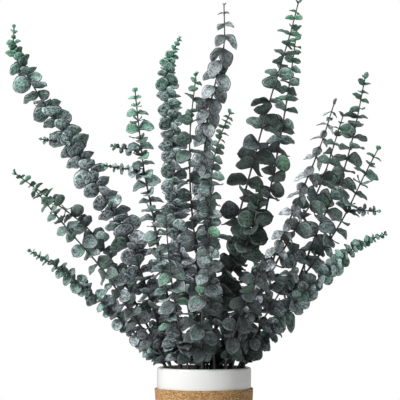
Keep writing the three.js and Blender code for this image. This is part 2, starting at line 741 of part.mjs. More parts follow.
async function build() {
  const wasm = await Module();
  wasm.setup();
  const group = new THREE.Group();
  addMesh(group, 'pot', geometryOf(solidOf(wasm, potGeometry())), 0xf2f1ec, 0.2);
  addMesh(group, 'sleeve', geometryOf(solidOf(wasm, sleeveGeometry())), 0xb88f58, 0.9);
  const grove = growGrove();
  BRANCHES.forEach((branch, branchIndex) => {
    const solid = branchSolid(wasm, branch, branchIndex, grove);
    addMesh(group, branch.name, geometryOf(solid), HABITS[branch.habit].colour, 0.8);
  });
  return group;
}

export default await build();
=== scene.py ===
"""Eucalyptus branches in a white pot with a cork sleeve, dressed and lit for rendering."""

import logging
import math
from collections.abc import Sequence
from dataclasses import dataclass, field
from enum import Enum, IntEnum

import bmesh
import bpy
import numpy as np
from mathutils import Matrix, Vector, noise


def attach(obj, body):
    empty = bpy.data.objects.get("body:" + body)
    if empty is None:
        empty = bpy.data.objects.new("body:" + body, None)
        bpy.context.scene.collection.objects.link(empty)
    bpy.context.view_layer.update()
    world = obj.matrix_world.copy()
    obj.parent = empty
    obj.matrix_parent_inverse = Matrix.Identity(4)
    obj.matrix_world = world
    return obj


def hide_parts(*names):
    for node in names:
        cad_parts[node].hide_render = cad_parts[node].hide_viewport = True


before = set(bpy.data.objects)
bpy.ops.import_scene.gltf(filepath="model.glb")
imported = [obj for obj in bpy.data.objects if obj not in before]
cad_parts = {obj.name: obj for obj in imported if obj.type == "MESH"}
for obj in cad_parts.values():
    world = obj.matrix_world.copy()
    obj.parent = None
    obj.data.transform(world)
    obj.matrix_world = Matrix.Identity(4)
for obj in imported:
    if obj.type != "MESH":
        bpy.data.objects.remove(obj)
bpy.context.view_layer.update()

LOG = logging.getLogger("eucalyptus")

MM = 0.001

# All sizes below are in millimetres and all angles in degrees, where nothing else is said.

# Pot and sleeve
POT_HEIGHT = 110.0
POT_RADIUS_TOP = 47.0
POT_RADIUS_FOOT = 43.5
POT_TAPER_TOP = 88.0
POT_WALL = 4.5
POT_FLOOR = 7.0
POT_LIP = 2.2
POT_FOOT_ROUND = 2.5
SLEEVE_GAP = 0.3
SLEEVE_THICK = 1.8
SLEEVE_BOTTOM = 5.0
SLEEVE_TOP = 89.0

# Stems
FOOT_GAP = 0.3
FOOT_TURN = math.radians(80)
FOOT_SHRINK = 0.65
NECK_RADIUS_LIMIT = 39.0
STEM_RADIUS_FOOT = 1.7
STEM_RADIUS_TIP = 0.6
SHOOT_RADIUS = 0.75
SHOOT_STEPS = 16
SHOOT_ALONG = 0.25
SHOOT_OUT = 0.15
SHOOT_BEND = 0.6
SHOOT_KEYS = 500
STEPS_PER_SPAN = 12
FIRST_LEAF = 11.0
FIRST_SHOOT_LEAF = 6.0
TIP_INSET = 1.0
TIP_PITCH = 40.0

# Where the outlines of the branches were measured from
VIEW_DISTANCE = 3000.0
VIEW_X = -4.0
VIEW_Z = 277.0

# Room between leaves, and between leaves and stems or pot
CLEARANCE = 1.9
MARGIN = 1.2
SAME_STEM_CLEARANCE = 0.5
SAME_STEM_MARGIN = 0.3
SAME_STEM_ROOT = 0.22
STEM_CLEARANCE = 2.8
STEM_NEAR = 12.0
RIM_REACH = 8.0
OVER_RIM = 3.0
BELOW_RIM = 4.0
RIM_POINTS = 8

# Small leaves round the foot of each stem
COLLAR_STEM_CLEARANCE = 2.1
COLLAR_STEPS = 4
COLLAR_FIRST = 4.0
COLLAR_GAP = 7.0
COLLAR_PITCHES = (95.0, 70.0, 45.0)
COLLAR_PAIR = 300
COLLAR_LEAF = 15.5
COLLAR_PRESS = 0.3

# How far the leaves' own draws reach
SPACING_SWAY = 0.18
TURN_SWAY = 0.6
PITCH_SWAY = 0.7
PRESS_BEND = 0.75
TIP_PRESS = 0.6
LENGTH_FROM = 0.84
LENGTH_SPAN = 0.32
WIDTH_FROM = 0.94
WIDTH_SPAN = 0.12

# Blades
BLADE_THICK = 0.45
SMALL_LEAF = 9.0

TINY = 1e-6
NO_FRONT = 1e-4

Layer = bmesh.types.BMLayerItem
Colour = tuple[float, float, float]
Point = tuple[float, float, float]

# A texture's scale, detail and roughness
Grain = tuple[float, float, float]

# Low and high of a value, then what they become where that isn't 0 and 1
Span = tuple[float, ...]

LAVENDER: Colour = (1.05, 0.985, 1.04)


class Draw(IntEnum):
    """What each of a leaf's own draws is for."""

    TURN = 1
    PITCH = 2
    ROLL = 3
    LENGTH = 4
    WIDTH = 5
    SPACING = 6
    COLLAR = 7
    CUP = 10
    WAVE = 11
    NOD = 12
    TWIST = 13
    NOTCH = 14
    WIDEST = 15
    TONE = 20


@dataclass(frozen=True)
class Habit:
    """How the leaves of one kind of stem grow. Lengths in mm, angles in degrees."""

    leaf: float
    tip_leaf: float
    slim_tip: float
    slim_base: float
    gap: float
    tip_gap: float
    reach: float
    pitch_tip: float
    pitch_base: float
    press: float
    scatter: float
    widest: float
    blunt: float
    curl: float
    fold: float


class Kind(Enum):
    """The kinds of stem in the bunch."""

    ROUND = Habit(18.5, 3.6, 0.9, 1.04, 8.0, 5.0, 0.17, 48, 72, 0.55, 28, 0.85, 0.5, -0.14, 0.2)
    FINE = Habit(12, 4, 0.9, 1.05, 5.8, 3.8, 0.32, 54, 72, 0.6, 26, 0.85, 0.5, -0.14, 0.2)
    PADDLE = Habit(20, 8, 0.68, 0.96, 14, 7, 0.3, 74, 84, 0.5, 30, 1.0, 0.52, -0.18, 0.24)
    TIERED = Habit(13.5, 5, 1.0, 1.12, 9.2, 7.2, 0.14, 80, 84, 0.35, 16, 0.9, 0.5, -0.18, 0.2)
    BROAD = Habit(19, 3, 0.55, 0.76, 14, 10, 0.1, 76, 138, 0.42, 24, 0.95, 0.66, -0.2, 0.24)
    NARROW = Habit(16, 9, 0.42, 0.62, 10.5, 8, 0.22, 112, 128, 0.4, 24, 0.9, 0.75, -0.16, 0.24)
    LARGE = Habit(19.5, 7, 0.8, 0.96, 17, 9, 0.22, 64, 92, 0.3, 46, 0.92, 0.52, -0.2, 0.24)
    SHOOT = Habit(7.5, 3.5, 0.8, 0.95, 5.5, 3.6, 0.6, 62, 80, 0.5, 24, 0.95, 0.55, -0.12, 0.2)


@dataclass(frozen=True)
class Branch:
    """One branch: its place in the pot, its course as seen from the front, and how it is leafed."""

    name: str
    kind: Kind
    neck: tuple[float, float]
    depth: float
    turn: float
    face: float
    size: float
    course: tuple[tuple[float, float], ...]
    shoots: tuple[tuple[float, float, float, float], ...] = ()
    shade: float = 0.0
    bare: tuple[float, float] = (0.0, 0.0)


BRANCHES: tuple[Branch, ...] = (
    Branch("branch_far_left", Kind.ROUND, (150, 39), 30, 10, 8, 1,
           ((-52, 172), (-76, 237), (-101, 282), (-129, 327), (-159, 372), (-180, 407), (-190, 429),
            (-190, 450)),
           ((242, -163, 8, 338),)),
    Branch("branch_left_tall", Kind.ROUND, (104, 24), 55, 30, -10, 0.8,
           ((-17, 177), (-26, 242), (-30, 287), (-32, 347), (-37, 392), (-34, 417), (-24, 440)),
           bare=(0, 175)),
    Branch("branch_left_low", Kind.FINE, (192, 39), -16, 0, 0, 1,
           ((-76, 150), (-109, 181), (-144, 208), (-174, 226))),
    Branch("branch_right_low", Kind.FINE, (-16, 39), -26, 20, 0, 1,
           ((70, 149), (97, 181), (126, 208), (154, 232), (181, 243))),
    Branch("branch_left_tiered", Kind.TIERED, (232, 38), -60, 12, 0, 1,
           ((-36, 177), (-50, 256), (-60, 307), (-65, 349), (-69, 386)),
           ((192, -100, -66, 312), (214, -92, -40, 331))),
    Branch("branch_mid_tall", Kind.BROAD, (75, 12), 16, 40, 0, 1,
           ((3, 196), (0, 277), (2, 347), (12, 397), (20, 432), (20, 473)), bare=(0, 185)),
    Branch("branch_right_tall", Kind.PADDLE, (-35, 21), 2, 70, 0, 1,
           ((22, 192), (31, 245), (51, 322), (67, 380), (85, 439), (94, 473)), shade=0.7),
    Branch("branch_right_second", Kind.PADDLE, (34, 31), 64, 45, 0, 0.84,
           ((43, 177), (61, 262), (74, 327), (85, 390), (93, 448)), shade=0.5, bare=(210, 274)),
    Branch("branch_right_outer", Kind.PADDLE, (16, 39), 46, 20, 0, 1,
           ((84, 177), (116, 252), (138, 302), (151, 349), (161, 399)), bare=(0, 150)),
    Branch("branch_left_upper", Kind.PADDLE, (171, 39), 64, 60, 0, 0.72,
           ((-77, 190), (-112, 244), (-154, 278), (-188, 303)), bare=(0, 150)),
    Branch("branch_left_second", Kind.PADDLE, (214, 39), -50, 15, 0, 0.8,
           ((-70, 160), (-98, 203), (-133, 244), (-168, 286))),
    Branch("branch_right_narrow", Kind.NARROW, (-45, 39), -66, 0, 0, 0.92,
           ((54, 177), (73, 227), (98, 286), (116, 330), (130, 373))),
    Branch("branch_right_inner", Kind.PADDLE, (0, 27), -8, 70, 0, 0.88,
           ((61, 192), (92, 249), (116, 291), (139, 361)), shade=0.4),
    Branch("branch_right_small", Kind.TIERED, (-1, 39), 14, 0, 20, 1.15,
           ((92, 190), (121, 230), (141, 262), (159, 299), (174, 328)),
           ((185, 174, 0, 266),)),
    Branch("branch_mid_green", Kind.LARGE, (268, 18), -36, 30, 10, 0.84,
           ((-5, 197), (-13, 277), (-14, 342), (-8, 402))),
    Branch("branch_mid_small", Kind.PADDLE, (286, 38), -50, 50, 0, 0.68,
           ((5, 200), (5, 257), (9, 312), (17, 342), (26, 364))),
    Branch("branch_centre_dark", Kind.ROUND, (310, 10), -40, 0, 0, 1.1,
           ((18, 185), (38, 222), (51, 258), (56, 290)), shade=0.9),
    Branch("branch_front_left", Kind.LARGE, (247, 39), -104, 25, 20, 0.88,
           ((-30, 180), (-36, 230), (-38, 262))),
    Branch("branch_front_mid", Kind.LARGE, (268, 39), -120, 60, 0, 0.88,
           ((-2, 160), (3, 195), (8, 225))),
    Branch("branch_front_right", Kind.LARGE, (301, 39), -108, 10, -20, 0.88,
           ((36, 160), (50, 190), (58, 218)), shade=0.7),
    Branch("branch_side_right", Kind.LARGE, (-30, 39), -56, 35, -30, 0.66,
           ((58, 155), (80, 192), (95, 222)), shade=0.5),
    Branch("branch_back_left", Kind.LARGE, (126, 39), 112, 15, 150, 0.8,
           ((-32, 165), (-43, 208), (-50, 250)), bare=(0, 145)),
    Branch("branch_back_mid", Kind.LARGE, (90, 39), 124, 40, 180, 0.8,
           ((-2, 170), (0, 220), (6, 268)), bare=(0, 150)),
    Branch("branch_back_right", Kind.LARGE, (56, 39), 112, 65, 210, 0.8,
           ((36, 160), (48, 190), (58, 215)), bare=(0, 140)),
)

# Ways a leaf moves aside when its own place is taken: turn round the stem, pitch, roll, size.
ASIDES: tuple[tuple[float, float, float, float], ...] = (
    (0, 0, 0, 1), (16, 0, 0, 1), (-16, 0, 0, 1), (0, -18, 0, 1), (0, 18, 0, 1),
    (24, -16, 20, 0.95), (-24, 16, -20, 0.95), (0, -34, 0, 0.88), (0, 30, 30, 0.88),
    (34, 0, -35, 0.8), (-34, 0, 35, 0.8), (0, -45, 50, 0.72), (20, 40, -50, 0.72),
)


def chance(a: int, b: int, c: int) -> float:
    """Draw a number from 0 to 1 by three counts, the same each time.

    Args:
        a: First count.
        b: Second count.
        c: Third count.

    Returns:
        The number drawn.
    """
    mask = 0xFFFFFFFF
    h = ((a + 1) * 0x9E3779B1 & mask) ^ ((b + 1) * 0x85EBCA6B & mask) ^ ((c + 1) * 0xC2B2AE35 & mask)
    h = (h ^ (h >> 15)) * 0x2C1B3C6D & mask
    h = (h ^ (h >> 12)) * 0x297A2D39 & mask
    return (h ^ (h >> 15)) / 4294967296.0


def spread(a: int, b: int, c: int) -> float:
    """Draw a number from -1 to 1 by three counts."""
    return 2.0 * chance(a, b, c) - 1.0


def mix(a: float, b: float, t: float) -> float:
    """Blend from a to b by t."""
    return a + (b - a) * t


def clamp(value: float) -> float:
    """Hold a value between 0 and 1."""
    return min(1.0, max(0.0, value))


def unit(vector: np.ndarray) -> np.ndarray:
    """Return a vector at length 1."""
    return vector / math.sqrt(float(vector @ vector))


def leaf_key(pair: int, side: int, shoot: bool) -> int:
    """The count that a leaf's own draws go by."""
    return pair * 2 + side + (SHOOT_KEYS if shoot else 0)


@dataclass
class Place:
    """A point of a path with its own frame."""

    point: np.ndarray
    tangent: np.ndarray
    side: np.ndarray
    cross: np.ndarray


class Path:
    """A line of points with a frame at each of them."""

    def __init__(self, points: Sequence[np.ndarray]) -> None:
        """Keep the points and work out the frames.

        Args:
            points: The points in mm, in order.
        """
        self.points = np.array(points, dtype=float)
        last = len(self.points) - 1
        steps = np.linalg.norm(np.diff(self.points, axis=0), axis=1)
        self.along = np.concatenate([[0.0], np.cumsum(steps)])
        self.tangents = np.array([
            unit(self.points[min(i + 1, last)] - self.points[max(i - 1, 0)]) for i in range(last + 1)
        ])
        side = np.array([0.0, 1.0, 0.0])
        sides = []
        for tangent in self.tangents:
            side = unit(side - (side @ tangent) * tangent)
            sides.append(side)
        self.sides = np.array(sides)

    @property
    def length(self) -> float:
        """The length of the path in mm."""
        return float(self.along[-1])

    def at(self, distance: float) -> Place:
        """Find the place at a distance along the path.

        Args:
            distance: The distance in mm.

        Returns:
            The point and its frame.
        """
        i = int(np.searchsorted(self.along, distance, side="right")) - 1
        i = min(max(i, 0), len(self.points) - 2)
        f = (distance - self.along[i]) / (self.along[i + 1] - self.along[i])
        point = self.points[i] + f * (self.points[i + 1] - self.points[i])
        tangent = unit(self.tangents[i] + f * (self.tangents[i + 1] - self.tangents[i]))
        side = self.sides[i] + f * (self.sides[i + 1] - self.sides[i])
        side = unit(side - (side @ tangent) * tangent)
        return Place(point, tangent, side, np.cross(tangent, side))


def carried(x: float, z: float, depth: float) -> np.ndarray:
    """Carry a front-view point out to its depth, along the line of sight."""
    k = (VIEW_DISTANCE + depth) / VIEW_DISTANCE
    return np.array([VIEW_X + (x - VIEW_X) * k, depth, VIEW_Z + (z - VIEW_Z) * k])


def neck_and_foot(branch: Branch) -> tuple[np.ndarray, np.ndarray]:
    """Find where a branch passes the pot's mouth and where it stands on its floor.

    Args:
        branch: The branch.

    Returns:
        The two places.
    """
    angle = math.radians(branch.neck[0])
    radius = min(branch.neck[1], NECK_RADIUS_LIMIT)
    neck = np.array([radius * math.cos(angle), radius * math.sin(angle), POT_HEIGHT])
    low = radius * FOOT_SHRINK
    turned = angle + FOOT_TURN
    foot = np.array([low * math.cos(turned), low * math.sin(turned), POT_FLOOR + FOOT_GAP])
    slope = foot - neck
    foot[2] += STEM_RADIUS_FOOT * math.hypot(slope[0], slope[1]) / float(np.linalg.norm(slope))
    return neck, foot


def branch_path(branch: Branch) -> Path:
    """Lay out the course of a branch above the mouth of the pot.

    Args:
        branch: The branch.

    Returns:
        Its path, a smooth curve through the places of its course.
    """
    neck, foot = neck_and_foot(branch)
    top = branch.course[-1][1]
    points = [neck] + [
        carried(x, z, mix(neck[1], branch.depth, (z - POT_HEIGHT) / (top - POT_HEIGHT)))
        for x, z in branch.course
    ]
    reach = float(np.linalg.norm(points[1] - neck))
    lean = unit(unit(neck - foot) + unit(points[1] - neck))
    points.insert(0, points[1] - 2 * reach * lean)
    last = len(points) - 1
    points.append(2 * points[last] - points[last - 1])
    course = []
    for i in range(1, last):
        a, b, c, d = points[i - 1:i + 3]
        for s in range(STEPS_PER_SPAN):
            t = s / STEPS_PER_SPAN
            course.append(0.5 * ((-t ** 3 + 2 * t * t - t) * a + (3 * t ** 3 - 5 * t * t + 2) * b
                                 + (-3 * t ** 3 + 4 * t * t + t) * c + (t ** 3 - t * t) * d))
    course.append(points[last])
    return Path(course)


def shoot_path(path: Path, shoot: tuple[float, float, float, float]) -> Path:
    """Lay out a side shoot from its place on the branch to its tip.

    Args:
        path: The path of the branch.
        shoot: How far along the branch it starts, and its tip: x, depth and z.

    Returns:
        Its path.
    """
    distance, x, depth, z = shoot
    place = path.at(distance)
    start, tip = place.point, carried(x, z, depth)
    reach = tip - start
    rise = start + place.tangent * SHOOT_ALONG * float(np.linalg.norm(reach)) + reach * SHOOT_OUT
    bend = start + reach * SHOOT_BEND
    points = []
    for i in range(SHOOT_STEPS + 1):
        t = i / SHOOT_STEPS
        s = 1 - t
        points.append(s ** 3 * start + 3 * s * s * t * rise + 3 * s * t * t * bend + t ** 3 * tip)
    return Path(points)


def leaf_outline(habit: Habit, v: float, bias: float = 1.0) -> float:
    """Half the width of a leaf at v, 0 at its root and 1 at its tip, as a share of the widest."""
    return math.sin(math.pi * v ** (habit.widest * bias)) ** habit.blunt if 0 < v < 1 else 0.0


@dataclass
class Leaf:
    """One leaf in its place. Lengths in mm."""

    branch_index: int
    pair: int
    side: int
    shoot: bool
    habit: Habit
    base: np.ndarray
    along: np.ndarray
    up: np.ndarray
    length: float
    width: float
    age: float
    across: np.ndarray = field(init=False)
    rim: np.ndarray = field(init=False)
    middle: np.ndarray = field(init=False)

    def __post_init__(self) -> None:
        """Work out the cross direction, the rim and the middle."""
        self.across = np.cross(self.along, self.up)
        rim = []
        for i in range(RIM_POINTS):
            v = 0.5 * (1 - math.cos(2 * math.pi * i / RIM_POINTS))
            half = 0.5 * self.width * leaf_outline(self.habit, v)
            rim.append(self.point(half if i < RIM_POINTS / 2 else -half, v))
        self.rim = np.array(rim)
        self.middle = self.point(0.0, 0.5)

    @property
    def key(self) -> int:
        """The count that the leaf's own draws go by."""
        return leaf_key(self.pair, self.side, self.shoot)

    def draw(self, what: Draw) -> float:
        """The leaf's own draw from -1 to 1 for one thing."""
        return spread(self.branch_index, self.key, what)

    def point(self, x: float, v: float, rise: float = 0.0) -> np.ndarray:
        """A point of the middle of the blade, x across it in mm."""
        lift = self.habit.curl * self.length * v * v + self.habit.fold * abs(x) + rise
        return self.base + self.along * (self.length * v) + self.across * x + self.up * lift

    def local(self, points: np.ndarray) -> tuple[np.ndarray, np.ndarray, np.ndarray]:
        """Turn points into distances along the leaf, across it and off its blade.

        Args:
            points: The points.

        Returns:
            The three distances of each point.
        """
        rel = points - self.base
        y, x = rel @ self.along, rel @ self.across
        v = np.clip(y / self.length, 0, 1)
        z = rel @ self.up - self.habit.curl * self.length * v * v - self.habit.fold * np.abs(x)
        return y, x, z

    def inside(self, x: np.ndarray, y: np.ndarray, margin: float) -> np.ndarray:
        """Find which places in the leaf's plane lie in its oval grown by a margin.

        Args:
            x: Distances across the leaf.
            y: Distances along it.
            margin: How much wider the oval is all round.

        Returns:
            True for each place inside.
        """
        a = (y - self.length / 2) / (self.length / 2 + margin)
        b = x / (self.width / 2 + margin)
        return a * a + b * b < 1


# The edges of a leaf's rim and its ribs, from the rim to the middle, by the numbers of their two ends
EDGES_A = np.array([*range(RIM_POINTS), *range(1, RIM_POINTS)])
EDGES_B = np.array([*((i + 1) % RIM_POINTS for i in range(RIM_POINTS)), *([RIM_POINTS] * (RIM_POINTS - 1))])


def reaches(a: Leaf, b: Leaf, same_stem: bool) -> bool:
    """Whether the rim or a rib of leaf a comes within reach of the blade of leaf b.

    Args:
        a: The leaf whose rim is tried.
        b: The leaf whose blade is tried.
        same_stem: Whether both may come as close as leaves of one stem.

    Returns:
        True where they would touch.
    """
    low = SAME_STEM_ROOT * b.length if same_stem else -math.inf
    clearance = SAME_STEM_CLEARANCE if same_stem else CLEARANCE
    margin = SAME_STEM_MARGIN if same_stem else MARGIN
    y, x, z = b.local(np.vstack([a.rim, a.middle]))
    close = (np.abs(z) < clearance) & (y > low) & b.inside(x, y, margin)
    if close[1:].any():
        return True
    za, zb = z[EDGES_A], z[EDGES_B]
    through = za * zb < 0
    if not through.any():
        return False
    f = za[through] / (za[through] - zb[through])
    ya, xa = y[EDGES_A][through], x[EDGES_A][through]
    yc = ya + (y[EDGES_B][through] - ya) * f
    xc = xa + (x[EDGES_B][through] - xa) * f
    return bool(((yc > low) & b.inside(xc, yc, margin)).any())


def meets_stem(leaf: Leaf, path: Path, room: float) -> bool:
    """Whether the stem of another branch runs through a leaf or close beside it.

    Args:
        leaf: The leaf.
        path: The stem's path.
        room: How much room the leaf needs round it.

    Returns:
        True where the stem is in its way.
    """
    rel = path.points - leaf.middle
    near = np.einsum("ij,ij->i", rel, rel) <= (leaf.length / 2 + STEM_NEAR) ** 2
    if not near.any():
        return False
    y, x, z = leaf.local(path.points)
    if (near & leaf.inside(x, y, room) & (np.abs(z) < room)).any():
        return True
    through = near[:-1] & near[1:] & (z[:-1] * z[1:] < 0)
    if not through.any():
        return False
    f = z[1:][through] / (z[1:][through] - z[:-1][through])
    yc = y[1:][through] + (y[:-1][through] - y[1:][through]) * f
    xc = x[1:][through] + (x[:-1][through] - x[1:][through]) * f
    return bool(leaf.inside(xc, yc, room).any())


def meets_pot(leaf: Leaf) -> bool:
    """Whether a leaf touches the rim of the pot or hangs down into it.

    Args:
        leaf: The leaf.

    Returns:
        True where the pot is in its way.
    """
    rim = leaf.rim[1:]
    outside = np.hypot(rim[:, 0], rim[:, 1]) > POT_RADIUS_TOP - POT_WALL - RIM_REACH
    lowest = np.where(outside, POT_HEIGHT + OVER_RIM, POT_HEIGHT - BELOW_RIM)
    return bool((rim[:, 2] < lowest).any())


@dataclass
class Stem:
    """A stem or side shoot of a branch, with its path."""

    branch: Branch
    branch_index: int
    path: Path
    habit: Habit
    shoot: bool
    start: float


@dataclass
class Grove:
    """All stems, shoots and leaves of the bunch."""

    stems: list[Stem] = field(default_factory=list)
    leaves: list[Leaf] = field(default_factory=list)
    _middles: list[np.ndarray] = field(default_factory=list)
    _radii: list[float] = field(default_factory=list)

    def grow(self) -> "Grove":
        """Lay out every stem, then leaf them one after another.

        Returns:
            The grove itself.
        """
        for index, branch in enumerate(BRANCHES):
            path = branch_path(branch)
            self.stems.append(Stem(branch, index, path, branch.kind.value, False, FIRST_LEAF))
            for shoot in branch.shoots:
                side = shoot_path(path, shoot)
                self.stems.append(Stem(branch, index, side, Kind.SHOOT.value, True, FIRST_SHOOT_LEAF))
        for stem in self.stems:
            self._leaf_stem(stem)
        for stem in self.stems:
            if not stem.shoot:
                self._leaf_collar(stem)
        return self

    def _taken(self, leaf: Leaf, close: bool = False) -> bool:
        """Whether a leaf's place is taken.

        Args:
            leaf: The leaf to place.
            close: Whether it may come as close to all leaves as to those of its own stem.

        Returns:
            True where the leaf doesn't fit.
        """
        if self._middles:
            far = np.array(self._radii) + leaf.length / 2 + CLEARANCE + MARGIN
            gap = np.linalg.norm(np.array(self._middles) - leaf.middle, axis=1)
            for i in np.nonzero(gap <= far)[0]:
                other = self.leaves[i]
                same = other.branch_index == leaf.branch_index
                if same and other.pair == leaf.pair and other.shoot == leaf.shoot:
                    continue
                if reaches(leaf, other, same or close) or reaches(other, leaf, same or close):
                    return True
        room = COLLAR_STEM_CLEARANCE if close else STEM_CLEARANCE
        if any(s.branch_index != leaf.branch_index and meets_stem(leaf, s.path, room) for s in self.stems):
            return True
        return meets_pot(leaf)

    def _keep(self, leaf: Leaf) -> None:
        """Keep a leaf, its middle and its reach.

        Args:
            leaf: The leaf.
        """
        self.leaves.append(leaf)
        self._middles.append(leaf.middle)
        self._radii.append(leaf.length / 2)

    def _leaf_stem(self, stem: Stem) -> None:
        """Place the leaf pairs of one stem, from its tip down.

        Args:
            stem: The stem.
        """
        habit, branch, path = stem.habit, stem.branch, stem.path
        angle = math.radians(branch.face)
        face = np.array([math.sin(angle), -math.cos(angle), 0.0])
        distance, pair, last = path.length - TIP_INSET, 0, False
        while not last:
            last = distance <= stem.start
            distance = max(distance, stem.start)
            grown = min(1.0, (path.length - distance) / (habit.reach * path.length))
            pitch = mix(habit.pitch_tip, habit.pitch_base, grown)
            spot = Spot(
                stem, pair, face, path.at(distance), branch.turn + 90 * pair,
                min(pitch, TIP_PITCH) if pair == 0 else pitch,
                mix(habit.tip_leaf, habit.leaf, grown) * branch.size,
                mix(habit.slim_tip, habit.slim_base, grown),
                habit.press * mix(TIP_PRESS, 1, grown),
                1.0 - distance / path.length,
            )
            bare = branch.bare[0] < spot.place.point[2] < branch.bare[1]
            for side in () if bare else (0, 1):
                for aside in ASIDES:
                    leaf = spot.leaf(side, aside)
                    if not self._taken(leaf):
                        self._keep(leaf)
                        break
            sway = 1 + SPACING_SWAY * spread(stem.branch_index, pair, Draw.SPACING)
            distance -= branch.size * mix(habit.tip_gap, habit.gap, grown) * sway
            pair += 1

    def _leaf_collar(self, stem: Stem) -> None:
        """Fill in leaves round the foot of a stem, close above the mouth of the pot.

        Args:
            stem: The stem.
        """
        face = np.array([0.0, -1.0, 0.0])
        for step in range(COLLAR_STEPS):
            place = stem.path.at(COLLAR_FIRST + COLLAR_GAP * step)
            for pitch in COLLAR_PITCHES:
                turn = 360 * chance(stem.branch_index, step, Draw.COLLAR)
                spot = Spot(stem, COLLAR_PAIR + step, face, place, turn, pitch, COLLAR_LEAF,
                            stem.habit.slim_base, COLLAR_PRESS, 1.0)
                for side in (0, 1):
                    leaf = spot.leaf(side, ASIDES[0])
                    if not self._taken(leaf, close=True):
                        self._keep(leaf)


@dataclass
class Spot:
    """A node of a stem where a pair of leaves grows."""

    stem: Stem
    pair: int
    face: np.ndarray
    place: Place
    azimuth: float
    pitch: float
    length: float
    slim: float
    press: float
    age: float

    def leaf(self, side: int, aside: tuple[float, float, float, float]) -> Leaf:
        """Grow one leaf of the pair.

        Args:
            side: 0 or 1, which leaf of the pair.
            aside: How the leaf moves aside: turn, pitch, roll and size.

        Returns:
            The leaf in its place.
        """
        habit, place, index = self.stem.habit, self.place, self.stem.branch_index
        key = leaf_key(self.pair, side, self.stem.shoot)
        sway = habit.scatter * TURN_SWAY * spread(index, key, Draw.TURN)
        azimuth = math.radians(self.azimuth + 180 * side + aside[0] + sway)
        sway = habit.scatter * PITCH_SWAY * spread(index, key, Draw.PITCH)
        pitch = math.radians(self.pitch + aside[1] + sway)
        out = place.side * math.cos(azimuth) + place.cross * math.sin(azimuth)
        along = place.tangent * math.cos(pitch) + out * math.sin(pitch)
        up = place.tangent * math.sin(pitch) - out * math.cos(pitch)
        along = unit(along - PRESS_BEND * self.press * float(along @ self.face) * self.face)
        up = unit(up - float(up @ along) * along)
        front = self.face - float(self.face @ along) * along
        if float(front @ front) > NO_FRONT:
            front = unit(front)
            sign = -1.0 if float(up @ front) < 0 else 1.0
            up = up * (1 - self.press) + front * (sign * self.press)
            up = unit(up - float(up @ along) * along)
        roll = math.radians(aside[2] + habit.scatter * spread(index, key, Draw.ROLL))
        up = up * math.cos(roll) + np.cross(along, up) * math.sin(roll)
        length = self.length * aside[3] * (LENGTH_FROM + LENGTH_SPAN * chance(index, key, Draw.LENGTH))
        width = length * self.slim * (WIDTH_FROM + WIDTH_SPAN * chance(index, key, Draw.WIDTH))
        return Leaf(index, self.pair, side, self.stem.shoot, habit, place.point, along, up, length, width,
                    self.age)


